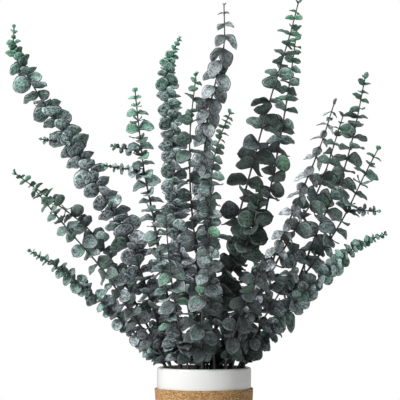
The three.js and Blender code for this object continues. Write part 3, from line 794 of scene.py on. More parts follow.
class Shader:
    """A material's node tree, built a node at a time."""

    def __init__(self, name: str) -> None:
        """Start an empty material.

        Args:
            name: The material's name.
        """
        self.material = bpy.data.materials.new(name)
        self.material.use_nodes = True
        self.tree = self.material.node_tree
        self.tree.nodes.clear()

    def node(self, kind: str, inputs: dict | None = None, **settings: object) -> bpy.types.Node:
        """Add a node.

        Args:
            kind: The node's type name.
            inputs: Values or sockets by input name or number.
            settings: The node's own settings.

        Returns:
            The node.
        """
        made = self.tree.nodes.new(kind)
        for name, value in settings.items():
            setattr(made, name, value)
        for name, value in (inputs or {}).items():
            if isinstance(value, bpy.types.NodeSocket):
                self.tree.links.new(value, made.inputs[name])
            else:
                made.inputs[name].default_value = value
        return made

    def attribute(self, name: str) -> bpy.types.NodeSocket:
        """Read a number kept on the mesh."""
        return self.node("ShaderNodeAttribute", attribute_name=name).outputs["Fac"]

    def math(self, operation: str, a: object, b: object = 0.0, clamp: bool = False) -> bpy.types.NodeSocket:
        """Work out one value from two."""
        return self.node("ShaderNodeMath", {0: a, 1: b}, operation=operation, use_clamp=clamp).outputs[0]

    def times(self, a: object, b: object, clamp: bool = False) -> bpy.types.NodeSocket:
        """Multiply two values."""
        return self.math("MULTIPLY", a, b, clamp)

    def span(self, value: object, low: float, high: float, to_low: float = 0.0,
             to_high: float = 1.0) -> bpy.types.NodeSocket:
        """Map a value from one range to another, smoothly.

        Args:
            value: The value.
            low: Start of its range.
            high: End of its range.
            to_low: What it gives at the start and below.
            to_high: What it gives at the end and above.

        Returns:
            The new value.
        """
        made = self.node(
            "ShaderNodeMapRange",
            {"Value": value, "From Min": low, "From Max": high, "To Min": to_low, "To Max": to_high},
            interpolation_type="SMOOTHSTEP",
        )
        return made.outputs[0]

    def blend(self, factor: object, a: object, b: object, how: str = "MIX") -> bpy.types.NodeSocket:
        """Blend two colours.

        Args:
            factor: How much of the second.
            a: The first.
            b: The second.
            how: The way they blend.

        Returns:
            The new colour.
        """
        made = self.node("ShaderNodeMix", {0: factor}, data_type="RGBA", blend_type=how)
        for number, value in ((6, a), (7, b)):
            if isinstance(value, bpy.types.NodeSocket):
                self.tree.links.new(value, made.inputs[number])
            else:
                made.inputs[number].default_value = (*value[:3], 1.0)
        return made.outputs[2]

    def ramp(self, value: object, stops: Sequence[tuple[float, Colour]]) -> bpy.types.NodeSocket:
        """Turn a value into a colour.

        Args:
            value: The value.
            stops: Places from 0 to 1 with their colours.

        Returns:
            The colour.
        """
        made = self.node("ShaderNodeValToRGB", {0: value})
        elements = made.color_ramp.elements
        while len(elements) < len(stops):
            elements.new(0.5)
        for element, (position, colour) in zip(elements, stops):
            element.position = position
            element.color = (*colour, 1.0)
        return made.outputs[0]

    def coordinates(self, stretch: Point = (1.0, 1.0, 1.0)) -> bpy.types.NodeSocket:
        """The object's own coordinates, stretched along the axes."""
        plain = self.node("ShaderNodeTexCoord").outputs["Object"]
        return self.node("ShaderNodeMapping", {"Vector": plain, "Scale": stretch}).outputs[0]

    def grain(self, where: object, scale: float, detail: float, rough: float) -> bpy.types.NodeSocket:
        """Soft random mottling."""
        inputs = {"Vector": where, "Scale": scale, "Detail": detail, "Roughness": rough}
        return self.node("ShaderNodeTexNoise", inputs).outputs[0]

    def finish(self, height: object, bump: float, depth: float, **surface: object) -> bpy.types.Material:
        """Close the tree with a surface shader and its bump.

        Args:
            height: The bump's height.
            bump: The bump's strength.
            depth: The bump's depth in metres.
            surface: The surface's inputs, with spaces written as underscores.

        Returns:
            The material.
        """
        inputs = {"Height": height, "Strength": bump, "Distance": depth}
        relief = self.node("ShaderNodeBump", inputs).outputs[0]
        values = {name.replace("_", " "): value for name, value in surface.items()}
        for name, value in values.items():
            if isinstance(value, tuple) and len(value) == 3:
                values[name] = (*value, 1.0)
        shader = self.node("ShaderNodeBsdfPrincipled", {**values, "Normal": relief})
        self.node("ShaderNodeOutputMaterial", {0: shader.outputs[0]})
        return self.material


@dataclass(frozen=True)
class LeafFinish:
    """The dusty skin of a leaf: green at a branch's tip, greyer lower down."""

    name: str
    tip: Colour
    young: Colour
    grown: Colour
    old: Colour
    green: Colour
    bloom: Colour
    tip_bloom: Colour
    greenness: float
    dustiness: float
    lining: float
    vivid: Colour = (0.01, 0.15, 0.045)
    gloom: Colour = (0.16, 0.2, 0.17)
    dark_share: float = 0.22

    # The leaf's own colour
    tone_shift: float = 0.2
    ages: Span = (0.0, 0.1, 0.4, 0.65)
    patches: Grain = (110.0, 2.0, 0.55)
    patch_edge: Span = (0.42, 0.55)
    patch_by_tone: Span = (0.25, 0.7, 0.15, 1.0)
    vivid_by_tone: Span = (0.955, 0.965, 0.0, 0.85)

    # Dust
    bloom_by_age: Span = (0.0, 0.14)
    lavender_by_age: Span = (0.35, 0.7)
    blotches: Grain = (380.0, 3.0, 0.6)
    blotch_edge: Span = (0.47, 0.56, 0.16, 1.0)
    dark_edge: Span = (0.41, 0.48)
    specks: Grain = (800.0, 3.0, 0.65)
    speck_edge: Span = (0.44, 0.53, 0.12, 1.0)
    dust_by_tone: Span = (0.0, 1.0, 1.2, 0.7)
    dust_by_age: Span = (0.04, 0.42, 0.45, 1.06)
    under_bloom: float = 0.07

    # Creases, veins, the dark rim, and a painted highlight just inside the rim
    crease_bends: Grain = (240.0, 3.0, 0.6)
    crease_bend: float = 5.0
    crease_slant: float = 3.0
    crease_edge: Span = (0.0, 0.16, 1.0, 0.0)
    crease_dust: float = 1.1
    creases: float = 3.5
    rib: Span = (0.0, 0.035, 1.0, 0.0)
    vein_pairs: float = 13.0
    vein_slant: float = 0.55
    vein_edge: Span = (0.0, 0.1, 0.7, 0.0)
    vein_end: Span = (0.36, 0.44, 1.0, 0.0)
    # The thin pale band just inside the rim is a painted highlight, where the leaf's edge would catch the
    # light
    painted_rim_highlight_from: Span = (0.35, 0.4, 0.0, 0.9)
    painted_rim_highlight_to: Span = (0.42, 0.46, 1.0, 0.0)
    dark_rim: Span = (0.43, 0.48, 0.0, 0.95)

    # Brightness, painted shade towards each leaf's base, and surface
    level_draws: float = 37.0
    levels: Span = (0.0, 1.0, 0.7, 1.55)
    # Painted shade: darker towards each leaf's base, a little lighter over its outer half
    painted_base_shade: Span = (0.0, 0.55, 0.5, 1.12)
    roughness: Span = (0.35, 0.65, 0.42, 0.75)
    line_height: float = 0.3
    blotch_height: float = 1.2
    bump: float = 0.9
    bump_depth: float = 0.0008
    shine: float = 0.4

    def material(self) -> bpy.types.Material:
        """Make the material.

        Returns:
            The leaf material.
        """
        s = Shader(self.name)
        age, tone, under, shade = (s.attribute(name) for name in ("age", "tone", "under", "shade"))
        where = s.coordinates()
        uv = s.node("ShaderNodeSeparateXYZ", {0: s.node("ShaderNodeUVMap", uv_map="leaf").outputs[0]})
        off = s.math("ABSOLUTE", s.math("SUBTRACT", uv.outputs[0], 0.5))
        along = uv.outputs[1]
        blotch = s.grain(where, *self.blotches)
        dark = tuple(self.dark_share * c for c in self.old)
        aged = tuple(c * share for c, share in zip(self.bloom, LAVENDER))
        bloom = s.blend(s.span(age, *self.bloom_by_age), self.tip_bloom, self.bloom)
        bloom = s.blend(s.span(age, *self.lavender_by_age), bloom, aged)

        creases = self._creases(s, where, off, along)
        dust = self._dust(s, where, blotch, creases, age, tone)
        colour = s.blend(dust, self._flesh(s, where, age, tone), bloom)
        colour = s.blend(s.span(blotch, *self.dark_edge, self.dustiness, 0.0), colour, dark)

        lines = self._veins(s, off, along)
        # A thin pale band just inside the rim is a painted highlight, where the leaf's edge would catch the
        # light; it takes the bloom colour along with the veins
        painted_rim_highlight = s.times(s.span(off, *self.painted_rim_highlight_from), s.span(off, *self.painted_rim_highlight_to))
        veins_and_rim_highlight = s.times(s.math("MAXIMUM", lines, painted_rim_highlight), self.lining, clamp=True)
        colour = s.blend(veins_and_rim_highlight, colour, bloom)
        colour = s.blend(s.span(off, *self.dark_rim), colour, dark)
        colour = s.blend(s.times(under, self.under_bloom), colour, self.bloom)

        level = s.span(s.math("FRACT", s.times(tone, self.level_draws)), *self.levels)
        # Painted shade: the leaf darker towards its base, a little lighter over its outer half
        level = s.times(level, s.span(along, *self.painted_base_shade))
        colour = s.node("ShaderNodeVectorMath", {0: colour, "Scale": level}, operation="SCALE").outputs[0]
        gloom = s.ramp(shade, ((0.0, (1.0, 1.0, 1.0)), (1.0, self.gloom)))
        colour = s.blend(1.0, colour, gloom, "MULTIPLY")

        height = s.math("ADD", s.times(lines, self.line_height), s.times(blotch, self.blotch_height))
        rough = s.span(blotch, *self.roughness)
        return s.finish(height, self.bump, self.bump_depth, Base_Color=colour, Roughness=rough,
                        Specular_IOR_Level=self.shine)

    def _flesh(self, s: Shader, where: object, age: object, tone: object) -> bpy.types.NodeSocket:
        """The leaf's own colour under the dust.

        Args:
            s: The shader.
            where: Coordinates.
            age: The leaf's age, 0 at the tip of the branch and 1 at its foot.
            tone: The leaf's own draw.

        Returns:
            The colour, fresher in patches and on a few whole leaves.
        """
        shifted = s.math("ADD", age, s.times(s.math("SUBTRACT", tone, 0.5), self.tone_shift), clamp=True)
        colour = s.ramp(shifted, list(zip(self.ages, (self.tip, self.young, self.grown, self.old))))
        patch = s.span(s.grain(where, *self.patches), *self.patch_edge, 0.0, self.greenness)
        patch = s.times(patch, s.span(tone, *self.patch_by_tone))
        colour = s.blend(patch, colour, self.green)
        return s.blend(s.span(tone, *self.vivid_by_tone), colour, self.vivid)

    def _creases(self, s: Shader, where: object, off: object, along: object) -> bpy.types.NodeSocket:
        """Fine wandering lines across the blade.

        Args:
            s: The shader.
            where: Coordinates.
            off: Distance from the midrib, 0.5 at the rim.
            along: Distance along the leaf, 0 to 1.

        Returns:
            1 on a line and 0 off it.
        """
        bend = s.times(s.grain(where, *self.crease_bends), self.crease_bend)
        bend = s.math("ADD", bend, s.times(off, self.crease_slant))
        line = s.math("ADD", s.times(along, self.creases), bend)
        return s.span(s.math("PINGPONG", line, 0.5), *self.crease_edge)

    def _dust(self, s: Shader, where: object, blotch: object, creases: object, age: object,
              tone: object) -> bpy.types.NodeSocket:
        """How much powdery bloom lies on the leaf.

        Args:
            s: The shader.
            where: Coordinates.
            blotch: Broad mottling.
            creases: The fine lines, which hold the most of it.
            age: The leaf's age.
            tone: The leaf's own draw.

        Returns:
            The amount, 0 to 1.
        """
        specks = s.span(s.grain(where, *self.specks), *self.speck_edge)
        dust = s.times(s.span(blotch, *self.blotch_edge), specks)
        dust = s.math("MAXIMUM", dust, s.times(creases, self.crease_dust))
        dust = s.times(dust, s.span(tone, *self.dust_by_tone))
        dust = s.times(dust, s.span(age, *self.dust_by_age))
        return s.times(dust, self.dustiness, clamp=True)

    def _veins(self, s: Shader, off: object, along: object) -> bpy.types.NodeSocket:
        """The midrib and the side veins.

        Args:
            s: The shader.
            off: Distance from the midrib, 0.5 at the rim.
            along: Distance along the leaf, 0 to 1.

        Returns:
            1 on a vein and 0 off it.
        """
        rib = s.span(off, *self.rib)
        slant = s.math("SUBTRACT", along, s.times(off, self.vein_slant))
        wave = s.math("PINGPONG", s.times(slant, self.vein_pairs), 0.5)
        veins = s.times(s.span(wave, *self.vein_edge), s.span(off, *self.vein_end))
        return s.math("MAXIMUM", rib, veins)


@dataclass(frozen=True)
class BarkFinish:
    """The thin bark of the stems: brown below, green at the tip."""

    name: str = "stem_bark"
    young: Colour = (0.035, 0.055, 0.042)
    old: Colour = (0.03, 0.027, 0.028)
    pale: Colour = (0.1, 0.09, 0.095)
    grown: float = 0.5
    stretch: Point = (1.0, 1.0, 0.25)
    streaks: Grain = (1400.0, 4.0, 0.55)
    pale_edge: Span = (0.5, 0.75, 0.0, 0.6)
    roughness: float = 0.75
    bump: float = 0.6
    bump_depth: float = 0.0004

    def material(self) -> bpy.types.Material:
        """Make the material.

        Returns:
            The bark material.
        """
        s = Shader(self.name)
        streak = s.grain(s.coordinates(self.stretch), *self.streaks)
        colour = s.ramp(s.attribute("age"), ((0.0, self.young), (self.grown, self.old)))
        colour = s.blend(s.span(streak, *self.pale_edge), colour, self.pale)
        return s.finish(streak, self.bump, self.bump_depth, Base_Color=colour, Roughness=self.roughness)


@dataclass(frozen=True)
class GlazeFinish:
    """Smooth white glaze."""

    name: str = "white_glaze"
    colour: Colour = (0.555, 0.56, 0.545)
    warm: Colour = (0.53, 0.53, 0.51)
    pit: Colour = (0.6, 0.58, 0.53)
    broad: Grain = (22.0, 2.0, 0.55)
    warm_edge: Span = (0.4, 0.7)
    pits: Grain = (1800.0, 2.0, 0.55)
    pit_edge: Span = (0.2, 0.32, 1.0, 0.0)
    pit_tint: float = 0.25
    pit_height: float = -0.05
    roughness: Span = (0.3, 0.7, 0.12, 0.22)
    bump: float = 0.15
    bump_depth: float = 0.0008
    coat: float = 0.5
    coat_roughness: float = 0.06

    def material(self) -> bpy.types.Material:
        """Make the material.

        Returns:
            The glaze material.
        """
        s = Shader(self.name)
        where = s.coordinates()
        broad = s.grain(where, *self.broad)
        colour = s.blend(s.span(broad, *self.warm_edge), self.colour, self.warm)
        pits = s.span(s.grain(where, *self.pits), *self.pit_edge)
        colour = s.blend(s.times(pits, self.pit_tint), colour, self.pit)
        height = s.math("ADD", broad, s.times(pits, self.pit_height))
        rough = s.span(broad, *self.roughness)
        return s.finish(height, self.bump, self.bump_depth, Base_Color=colour, Roughness=rough,
                        Coat_Weight=self.coat, Coat_Roughness=self.coat_roughness)


@dataclass(frozen=True)
class CorkFinish:
    """Pressed cork with pale and dark grains."""

    name: str = "pressed_cork"
    base: Colour = (0.34, 0.19, 0.076)
    pale: Colour = (0.53, 0.35, 0.165)
    dark: Colour = (0.08, 0.035, 0.012)
    stretch: Point = (1.0, 1.0, 2.6)
    cell_scale: float = 620.0
    bend_scale: float = 500.0
    bend: float = 0.0016
    tints: Span = (0.0, 0.25, 0.6, 0.95)
    soft: Grain = (200.0, 3.0, 0.55)
    soft_edge: Span = (0.4, 0.65, 0.0, 0.3)
    pores: Grain = (900.0, 3.0, 0.55)
    pore_edge: Span = (0.36, 0.46, 0.85, 0.0)
    cell_height: float = 0.6
    roughness: float = 0.85
    shine: float = 0.25
    bump: float = 0.7
    bump_depth: float = 0.0006

    def material(self) -> bpy.types.Material:
        """Make the material.

        Returns:
            The cork material.
        """
        s = Shader(self.name)
        where = s.coordinates(self.stretch)
        drift = s.node("ShaderNodeTexNoise", {"Vector": where, "Scale": self.bend_scale}).outputs[1]
        drift = s.node("ShaderNodeVectorMath", {0: drift, "Scale": self.bend}, operation="SCALE").outputs[0]
        bent = s.node("ShaderNodeVectorMath", {0: where, 1: drift}, operation="ADD").outputs[0]
        cells = s.node("ShaderNodeTexVoronoi", {"Vector": bent, "Scale": self.cell_scale})
        tint = s.node("ShaderNodeSeparateColor", {0: cells.outputs["Color"]}).outputs[0]
        colour = s.ramp(tint, list(zip(self.tints, (self.dark, self.base, self.base, self.pale))))
        colour = s.blend(s.span(s.grain(where, *self.soft), *self.soft_edge), colour, self.base)
        pores = s.span(s.grain(where, *self.pores), *self.pore_edge)
        colour = s.blend(pores, colour, self.dark)
        height = s.math("SUBTRACT", s.times(tint, self.cell_height), pores)
        return s.finish(height, self.bump, self.bump_depth, Base_Color=colour, Roughness=self.roughness,
                        Specular_IOR_Level=self.shine)


@dataclass(frozen=True)
class FloorFinish:
    """Plain pale floor."""

    name: str = "pale_floor"
    colour: Colour = (0.86, 0.86, 0.86)
    soft: Grain = (6.0, 2.0, 0.55)
    roughness: Span = (0.3, 0.7, 0.75, 0.85)
    bump: float = 0.02
    bump_depth: float = 0.0005

    def material(self) -> bpy.types.Material:
        """Make the material.

        Returns:
            The floor material.
        """
        s = Shader(self.name)
        soft = s.grain(s.coordinates(), *self.soft)
        rough = s.span(soft, *self.roughness)
        return s.finish(soft, self.bump, self.bump_depth, Base_Color=self.colour, Roughness=rough)


DUSTY = LeafFinish(
    "leaf_dusty", tip=(0.045, 0.27, 0.145), young=(0.018, 0.12, 0.066), grown=(0.026, 0.062, 0.05),
    old=(0.032, 0.039, 0.044), green=(0.012, 0.11, 0.055), bloom=(0.45, 0.515, 0.535),
    tip_bloom=(0.34, 0.68, 0.5), greenness=0.95, dustiness=0.8, lining=0.5,
)
GREEN = LeafFinish(
    "leaf_green", tip=(0.045, 0.26, 0.14), young=(0.026, 0.125, 0.075), grown=(0.026, 0.066, 0.051),
    old=(0.03, 0.041, 0.043), green=(0.015, 0.12, 0.062), bloom=(0.4, 0.485, 0.49),
    tip_bloom=(0.34, 0.66, 0.49), greenness=0.95, dustiness=0.66, lining=0.4,
)
GREY = LeafFinish(
    "leaf_grey", tip=(0.06, 0.073, 0.072), young=(0.115, 0.134, 0.138), grown=(0.098, 0.113, 0.118),
    old=(0.052, 0.061, 0.065), green=(0.045, 0.12, 0.08), bloom=(0.49, 0.53, 0.56),
    tip_bloom=(0.46, 0.53, 0.52), greenness=0.5, dustiness=0.64, lining=0.4,
)
DARK = LeafFinish(
    "leaf_dark", tip=(0.035, 0.16, 0.088), young=(0.026, 0.083, 0.056), grown=(0.026, 0.049, 0.043),
    old=(0.028, 0.035, 0.038), green=(0.012, 0.085, 0.042), bloom=(0.34, 0.395, 0.4),
    tip_bloom=(0.3, 0.52, 0.4), greenness=0.85, dustiness=0.5, lining=0.3,
)

LEAF_FINISH: dict[Kind, LeafFinish] = {
    Kind.ROUND: DUSTY, Kind.FINE: GREEN, Kind.PADDLE: DARK, Kind.TIERED: GREEN,
    Kind.BROAD: GREY, Kind.NARROW: GREY, Kind.LARGE: DARK,
}


def new_piece(name: str, bm: bmesh.types.BMesh, materials: Sequence[bpy.types.Material],
              node: str) -> bpy.types.Object:
    """Turn a mesh into a piece that replaces a solid.

    Args:
        name: The piece's name.
        bm: The mesh in metres, which is freed.
        materials: Its materials in order.
        node: The solid it stands for.

    Returns:
        The piece.
    """
    mesh = bpy.data.meshes.new(name)
    bm.to_mesh(mesh)
    bm.free()
    mesh.shade_smooth()
    for material in materials:
        mesh.materials.append(material)
    piece = bpy.data.objects.new(name, mesh)
    bpy.context.scene.collection.objects.link(piece)
    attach(piece, "root")
    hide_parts(node)
    triangles = sum(len(p.vertices) - 2 for p in mesh.polygons)
    LOG.info("%s: %d triangles", name, triangles)
    return piece


def on_leaf(a: float, b: float) -> tuple[float, float]:
    """Carry a place on a square sheet over to a leaf.

    Args:
        a: Place across the sheet, -1 to 1.
        b: Place along the sheet, -1 to 1.

    Returns:
        The place across the leaf, -1 to 1 from rim to rim, and along it, 0 to 1.
    """
    x = a * math.sqrt(1 - b * b / 2)
    y = b * math.sqrt(1 - a * a / 2)
    wide = math.sqrt(max(0.0, 1 - y * y))
    return (x / wide if wide > TINY else 0.0), (1 + y) / 2


@dataclass
class LeafyBranch:
    """One branch with its stem, side shoots and leaves. Shares are of a leaf's length or half its width."""

    branch: Branch
    index: int
    grove: Grove

    # Stem
    sides: int = 8
    ring_gap: float = 2.6
    least_rings: int = 6
    girth: float = 0.92
    node_swelling: float = 0.32
    node_reach: float = 1.6
    wobble: float = 0.12
    wobble_scale: float = 0.05

    # Blades
    grid: int = 6
    small_grid: int = 4
    cup: float = 0.1
    cup_sway: float = 0.12
    widest_sway: float = 0.2
    fold_round: float = 0.02
    wave: float = 0.07
    wave_turns: float = 1.4
    wave_starts: tuple[float, float] = (-0.6, 1.7)
    nod: float = 0.08
    twist: float = 0.12
    notch: float = 0.05

    # Age and shade
    short_top: float = 300.0
    short_age: float = 0.42
    shade_top: float = 400.0
    shade_fade: float = 100.0
    low_shade: float = 0.85
    low_top: float = 215.0
    low_fade: float = 90.0
    mid_shade: float = 1.3
    side_shade: float = 0.45
    shade_middle: float = 25.0
    shade_width: float = 70.0

    def build(self, bark: bpy.types.Material, finish: bpy.types.Material) -> bpy.types.Object:
        """Build the branch.

        Args:
            bark: The stems' material.
            finish: The leaves' material.

        Returns:
            The piece.
        """
        bm = bmesh.new()
        uv = bm.loops.layers.uv.new("leaf")
        layers = {name: bm.verts.layers.float.new(name) for name in ("age", "tone", "under", "shade")}
        mine = [leaf for leaf in self.grove.leaves if leaf.branch_index == self.index]
        for leaf in mine:
            self._add_leaf(bm, uv, layers, leaf)
        count = len(bm.verts)
        bmesh.ops.recalc_face_normals(bm, faces=bm.faces)
        bmesh.ops.solidify(bm, geom=bm.faces[:], thickness=-BLADE_THICK * MM)
        bm.verts.ensure_lookup_table()
        for vert in bm.verts[count:]:
            vert[layers["under"]] = 1.0
        for face in bm.faces:
            face.material_index = 1
        for stem in self.grove.stems:
            if stem.branch_index == self.index:
                self._add_stem(bm, uv, layers, stem)
        name = self.branch.name.replace("branch_", "leafy_")
        return new_piece(name, bm, (bark, finish), self.branch.name)

    def _gloom(self, leaf: Leaf) -> float:
        """Find how deep in the other leaves' shade a leaf lies.

        Args:
            leaf: The leaf.

        Returns:
            0 in the open, 1 in the deepest shade.
        """
        x, _, z = leaf.middle
        own = self.branch.shade * clamp((self.shade_top - z) / self.shade_fade)
        low = self.low_shade * clamp((self.low_top - z) / self.low_fade)
        inward = self.mid_shade - abs(x - self.shade_middle) / self.shade_width
        return max(own, low * min(1.0, max(self.side_shade, inward)))

    def _rise(self, leaf: Leaf, across: float, v: float, half: float) -> float:
        """Find how far a place of the blade lies off the leaf's plain fold.

        Args:
            leaf: The leaf.
            across: Place across it, -1 to 1.
            v: Place along it, 0 to 1.
            half: Half its width there, in mm.

        Returns:
            The distance in mm.
        """
        edge = abs(across)
        turns = self.wave_turns * v + 0.5 * leaf.draw(Draw.WAVE)
        wave = math.sin(math.tau * turns + self.wave_starts[across > 0])
        return (
            leaf.habit.fold * half * (math.sqrt(edge * edge + self.fold_round) - edge)
            + (self.cup + self.cup_sway * leaf.draw(Draw.CUP)) * half * edge * edge
            + self.wave * leaf.length * edge ** 3 * wave * math.sin(math.pi * v)
            + self.nod * leaf.draw(Draw.NOD) * leaf.length * v * v
            + self.twist * leaf.draw(Draw.TWIST) * across * half * v
        )

    def _add_leaf(self, bm: bmesh.types.BMesh, uv: Layer, layers: dict[str, Layer], leaf: Leaf) -> None:
        """Add one leaf blade as a bent sheet.

        Args:
            bm: The branch's mesh.
            uv: Its UV layer.
            layers: Its layers of numbers.
            leaf: The leaf.
        """
        cells = self.small_grid if leaf.length < SMALL_LEAF else self.grid
        made = bmesh.ops.create_grid(bm, x_segments=cells, y_segments=cells, size=1.0)["verts"]
        tone = chance(leaf.branch_index, leaf.key, Draw.TONE)
        bias = 1.0 + self.widest_sway * leaf.draw(Draw.WIDEST)
        notched = self.notch if leaf.draw(Draw.NOTCH) > 0 else 0.0
        gloom = self._gloom(leaf)
        short = self.branch.kind is Kind.LARGE and self.branch.course[-1][1] < self.short_top
        age = mix(self.short_age if short else 0.0, 1.0, leaf.age)
        place = {}
        for vert in made:
            across, v = on_leaf(vert.co.x, vert.co.y)
            half = 0.5 * leaf.width * leaf_outline(leaf.habit, v, bias)
            notch = notched * abs(across) ** 4 * v ** 6
            point = leaf.point(across * half, v - notch, self._rise(leaf, across, v, half))
            vert.co = Vector(point * MM)
            vert[layers["age"]] = age
            vert[layers["tone"]] = tone
            vert[layers["shade"]] = gloom
            place[vert] = (0.5 + 0.5 * across, v)
        for face in {f for vert in made for f in vert.link_faces}:
            for loop in face.loops:
                loop[uv].uv = place[loop.vert]
            face.normal_update()
            if face.normal.dot(Vector(leaf.up)) < 0:
                face.normal_flip()

    def _add_stem(self, bm: bmesh.types.BMesh, uv: Layer, layers: dict[str, Layer], stem: Stem) -> None:
        """Add a stem as a tube with a swelling at each leaf pair.

        Args:
            bm: The branch's mesh.
            uv: Its UV layer.
            layers: Its layers of numbers.
            stem: The stem or side shoot.
        """
        path = stem.path if stem.shoot else Path([neck_and_foot(self.branch)[1], *stem.path.points])
        below = path.length - stem.path.length
        base = SHOOT_RADIUS if stem.shoot else STEM_RADIUS_FOOT
        nodes = np.array([
            path.length - leaf.age * stem.path.length for leaf in self.grove.leaves
            if leaf.branch_index == self.index and leaf.shoot == stem.shoot and leaf.side == 0
        ])
        rings = max(self.least_rings, round(path.length / self.ring_gap))
        made = bmesh.ops.create_grid(bm, x_segments=rings, y_segments=self.sides, size=1.0)["verts"]
        place = {}
        for vert in made:
            t, turn = (vert.co.x + 1) / 2, (vert.co.y + 1) / 2
            distance = t * path.length
            radius = mix(base, STEM_RADIUS_TIP, t) * self.girth
            if len(nodes) and distance > below:
                near = float(np.min(np.abs(nodes - distance)))
                radius *= 1 + self.node_swelling * math.exp(-((near / self.node_reach) ** 2))
            spot = path.at(distance)
            angle = math.tau * turn
            ring = spot.cross * math.cos(angle) + spot.side * math.sin(angle)
            wobble = self.wobble * noise.noise(Vector(spot.point * self.wobble_scale)) * radius
            vert.co = Vector((spot.point + ring * (radius + wobble)) * MM)
            vert[layers["age"]] = 1 - t
            vert[layers["tone"]] = 0.5
            place[vert] = (turn, t)
        faces = {f for vert in made for f in vert.link_faces}
        for face in faces:
            face.material_index = 0
            for loop in face.loops:
                loop[uv].uv = place[loop.vert]
        bmesh.ops.remove_doubles(bm, verts=made, dist=TINY)
        faces = [f for f in faces if f.is_valid]
        rims = [e for e in {e for f in faces for e in f.edges} if e.is_boundary]
        caps = bmesh.ops.holes_fill(bm, edges=rims, sides=self.sides + 2)["faces"]
        bmesh.ops.recalc_face_normals(bm, faces=faces + caps)


def lathe(profile: Sequence[tuple[float, float]], steps: int) -> bmesh.types.BMesh:
    """Turn a profile round the upright axis.

    Args:
        profile: Radius and height in mm, in order.
        steps: How many steps make the full turn.

    Returns:
        The closed mesh in metres.
    """
    bm = bmesh.new()
    verts = [bm.verts.new((r * MM, 0.0, z * MM)) for r, z in profile]
    edges = [bm.edges.new(pair) for pair in zip(verts, verts[1:])]
    bmesh.ops.spin(bm, geom=verts + edges, cent=(0, 0, 0), axis=(0, 0, 1), angle=math.tau, steps=steps,
                   use_merge=True)
    bmesh.ops.remove_doubles(bm, verts=bm.verts, dist=TINY)
    bmesh.ops.recalc_face_normals(bm, faces=bm.faces)
    return bm


def arc(cx: float, cz: float, radius: float, start: float, stop: float,
        count: int) -> list[tuple[float, float]]:
    """Lay points along an arc of a profile.

    Args:
        cx: Radius of its centre.
        cz: Height of its centre.
        radius: Its own radius.
        start: Its first angle in degrees.
        stop: Its last angle in degrees.
        count: How many steps it has.

    Returns:
        The points.
    """
    angles = [math.radians(mix(start, stop, i / count)) for i in range(count + 1)]
    return [(cx + radius * math.cos(a), cz + radius * math.sin(a)) for a in angles]


def pot_radius(z: float) -> float:
    """The outer radius of the pot at a height, in mm."""
    return mix(POT_RADIUS_FOOT, POT_RADIUS_TOP, min(1.0, z / POT_TAPER_TOP))


@dataclass
class Pot:
    """The white pot, thick-walled with a rounded lip and foot."""

    steps: int = 96
    lip_steps: int = 12
    foot_steps: int = 5
    floor_steps: int = 4
    outer_rings: tuple[float, ...] = (12, 30, 50, 70)
    inner_rings: tuple[float, ...] = (60, 30)
    sway: float = 0.25
    sway_scale: float = 14.0
    sway_from: float = 20.0

    def build(self, glaze: bpy.types.Material) -> bpy.types.Object:
        """Build the pot.

        Args:
            glaze: Its material.

        Returns:
            The piece.
        """
        inner = POT_RADIUS_TOP - POT_WALL
        floor_radius = pot_radius(POT_FLOOR) - POT_WALL
        half = POT_WALL / 2
        lip = [(POT_RADIUS_TOP - half + half * math.cos(a), POT_HEIGHT - POT_LIP + POT_LIP * math.sin(a))
               for a in (math.radians(180 * n / self.lip_steps) for n in range(self.lip_steps + 1))]
        profile = [
            (0, 0), (pot_radius(0) * 0.5, 0),
            *arc(pot_radius(0) - POT_FOOT_ROUND, POT_FOOT_ROUND, POT_FOOT_ROUND, -90, 0, self.foot_steps),
            *[(pot_radius(z), z) for z in self.outer_rings],
            (POT_RADIUS_TOP, POT_TAPER_TOP), *lip, (inner, POT_TAPER_TOP),
            *[(mix(floor_radius, inner, z / POT_TAPER_TOP), z) for z in self.inner_rings],
            *arc(floor_radius - POT_FOOT_ROUND, POT_FLOOR + POT_FOOT_ROUND, POT_FOOT_ROUND, 0, -90,
                 self.floor_steps),
            (floor_radius * 0.5, POT_FLOOR), (0, POT_FLOOR),
        ]
        bm = lathe(profile, self.steps)
        for vert in bm.verts:
            if vert.co.z > self.sway_from * MM:
                sway = noise.noise(vert.co * self.sway_scale) * self.sway / POT_RADIUS_TOP
                vert.co.x *= 1 + sway
                vert.co.y *= 1 + sway
        return new_piece("white_pot", bm, (glaze,), "pot")


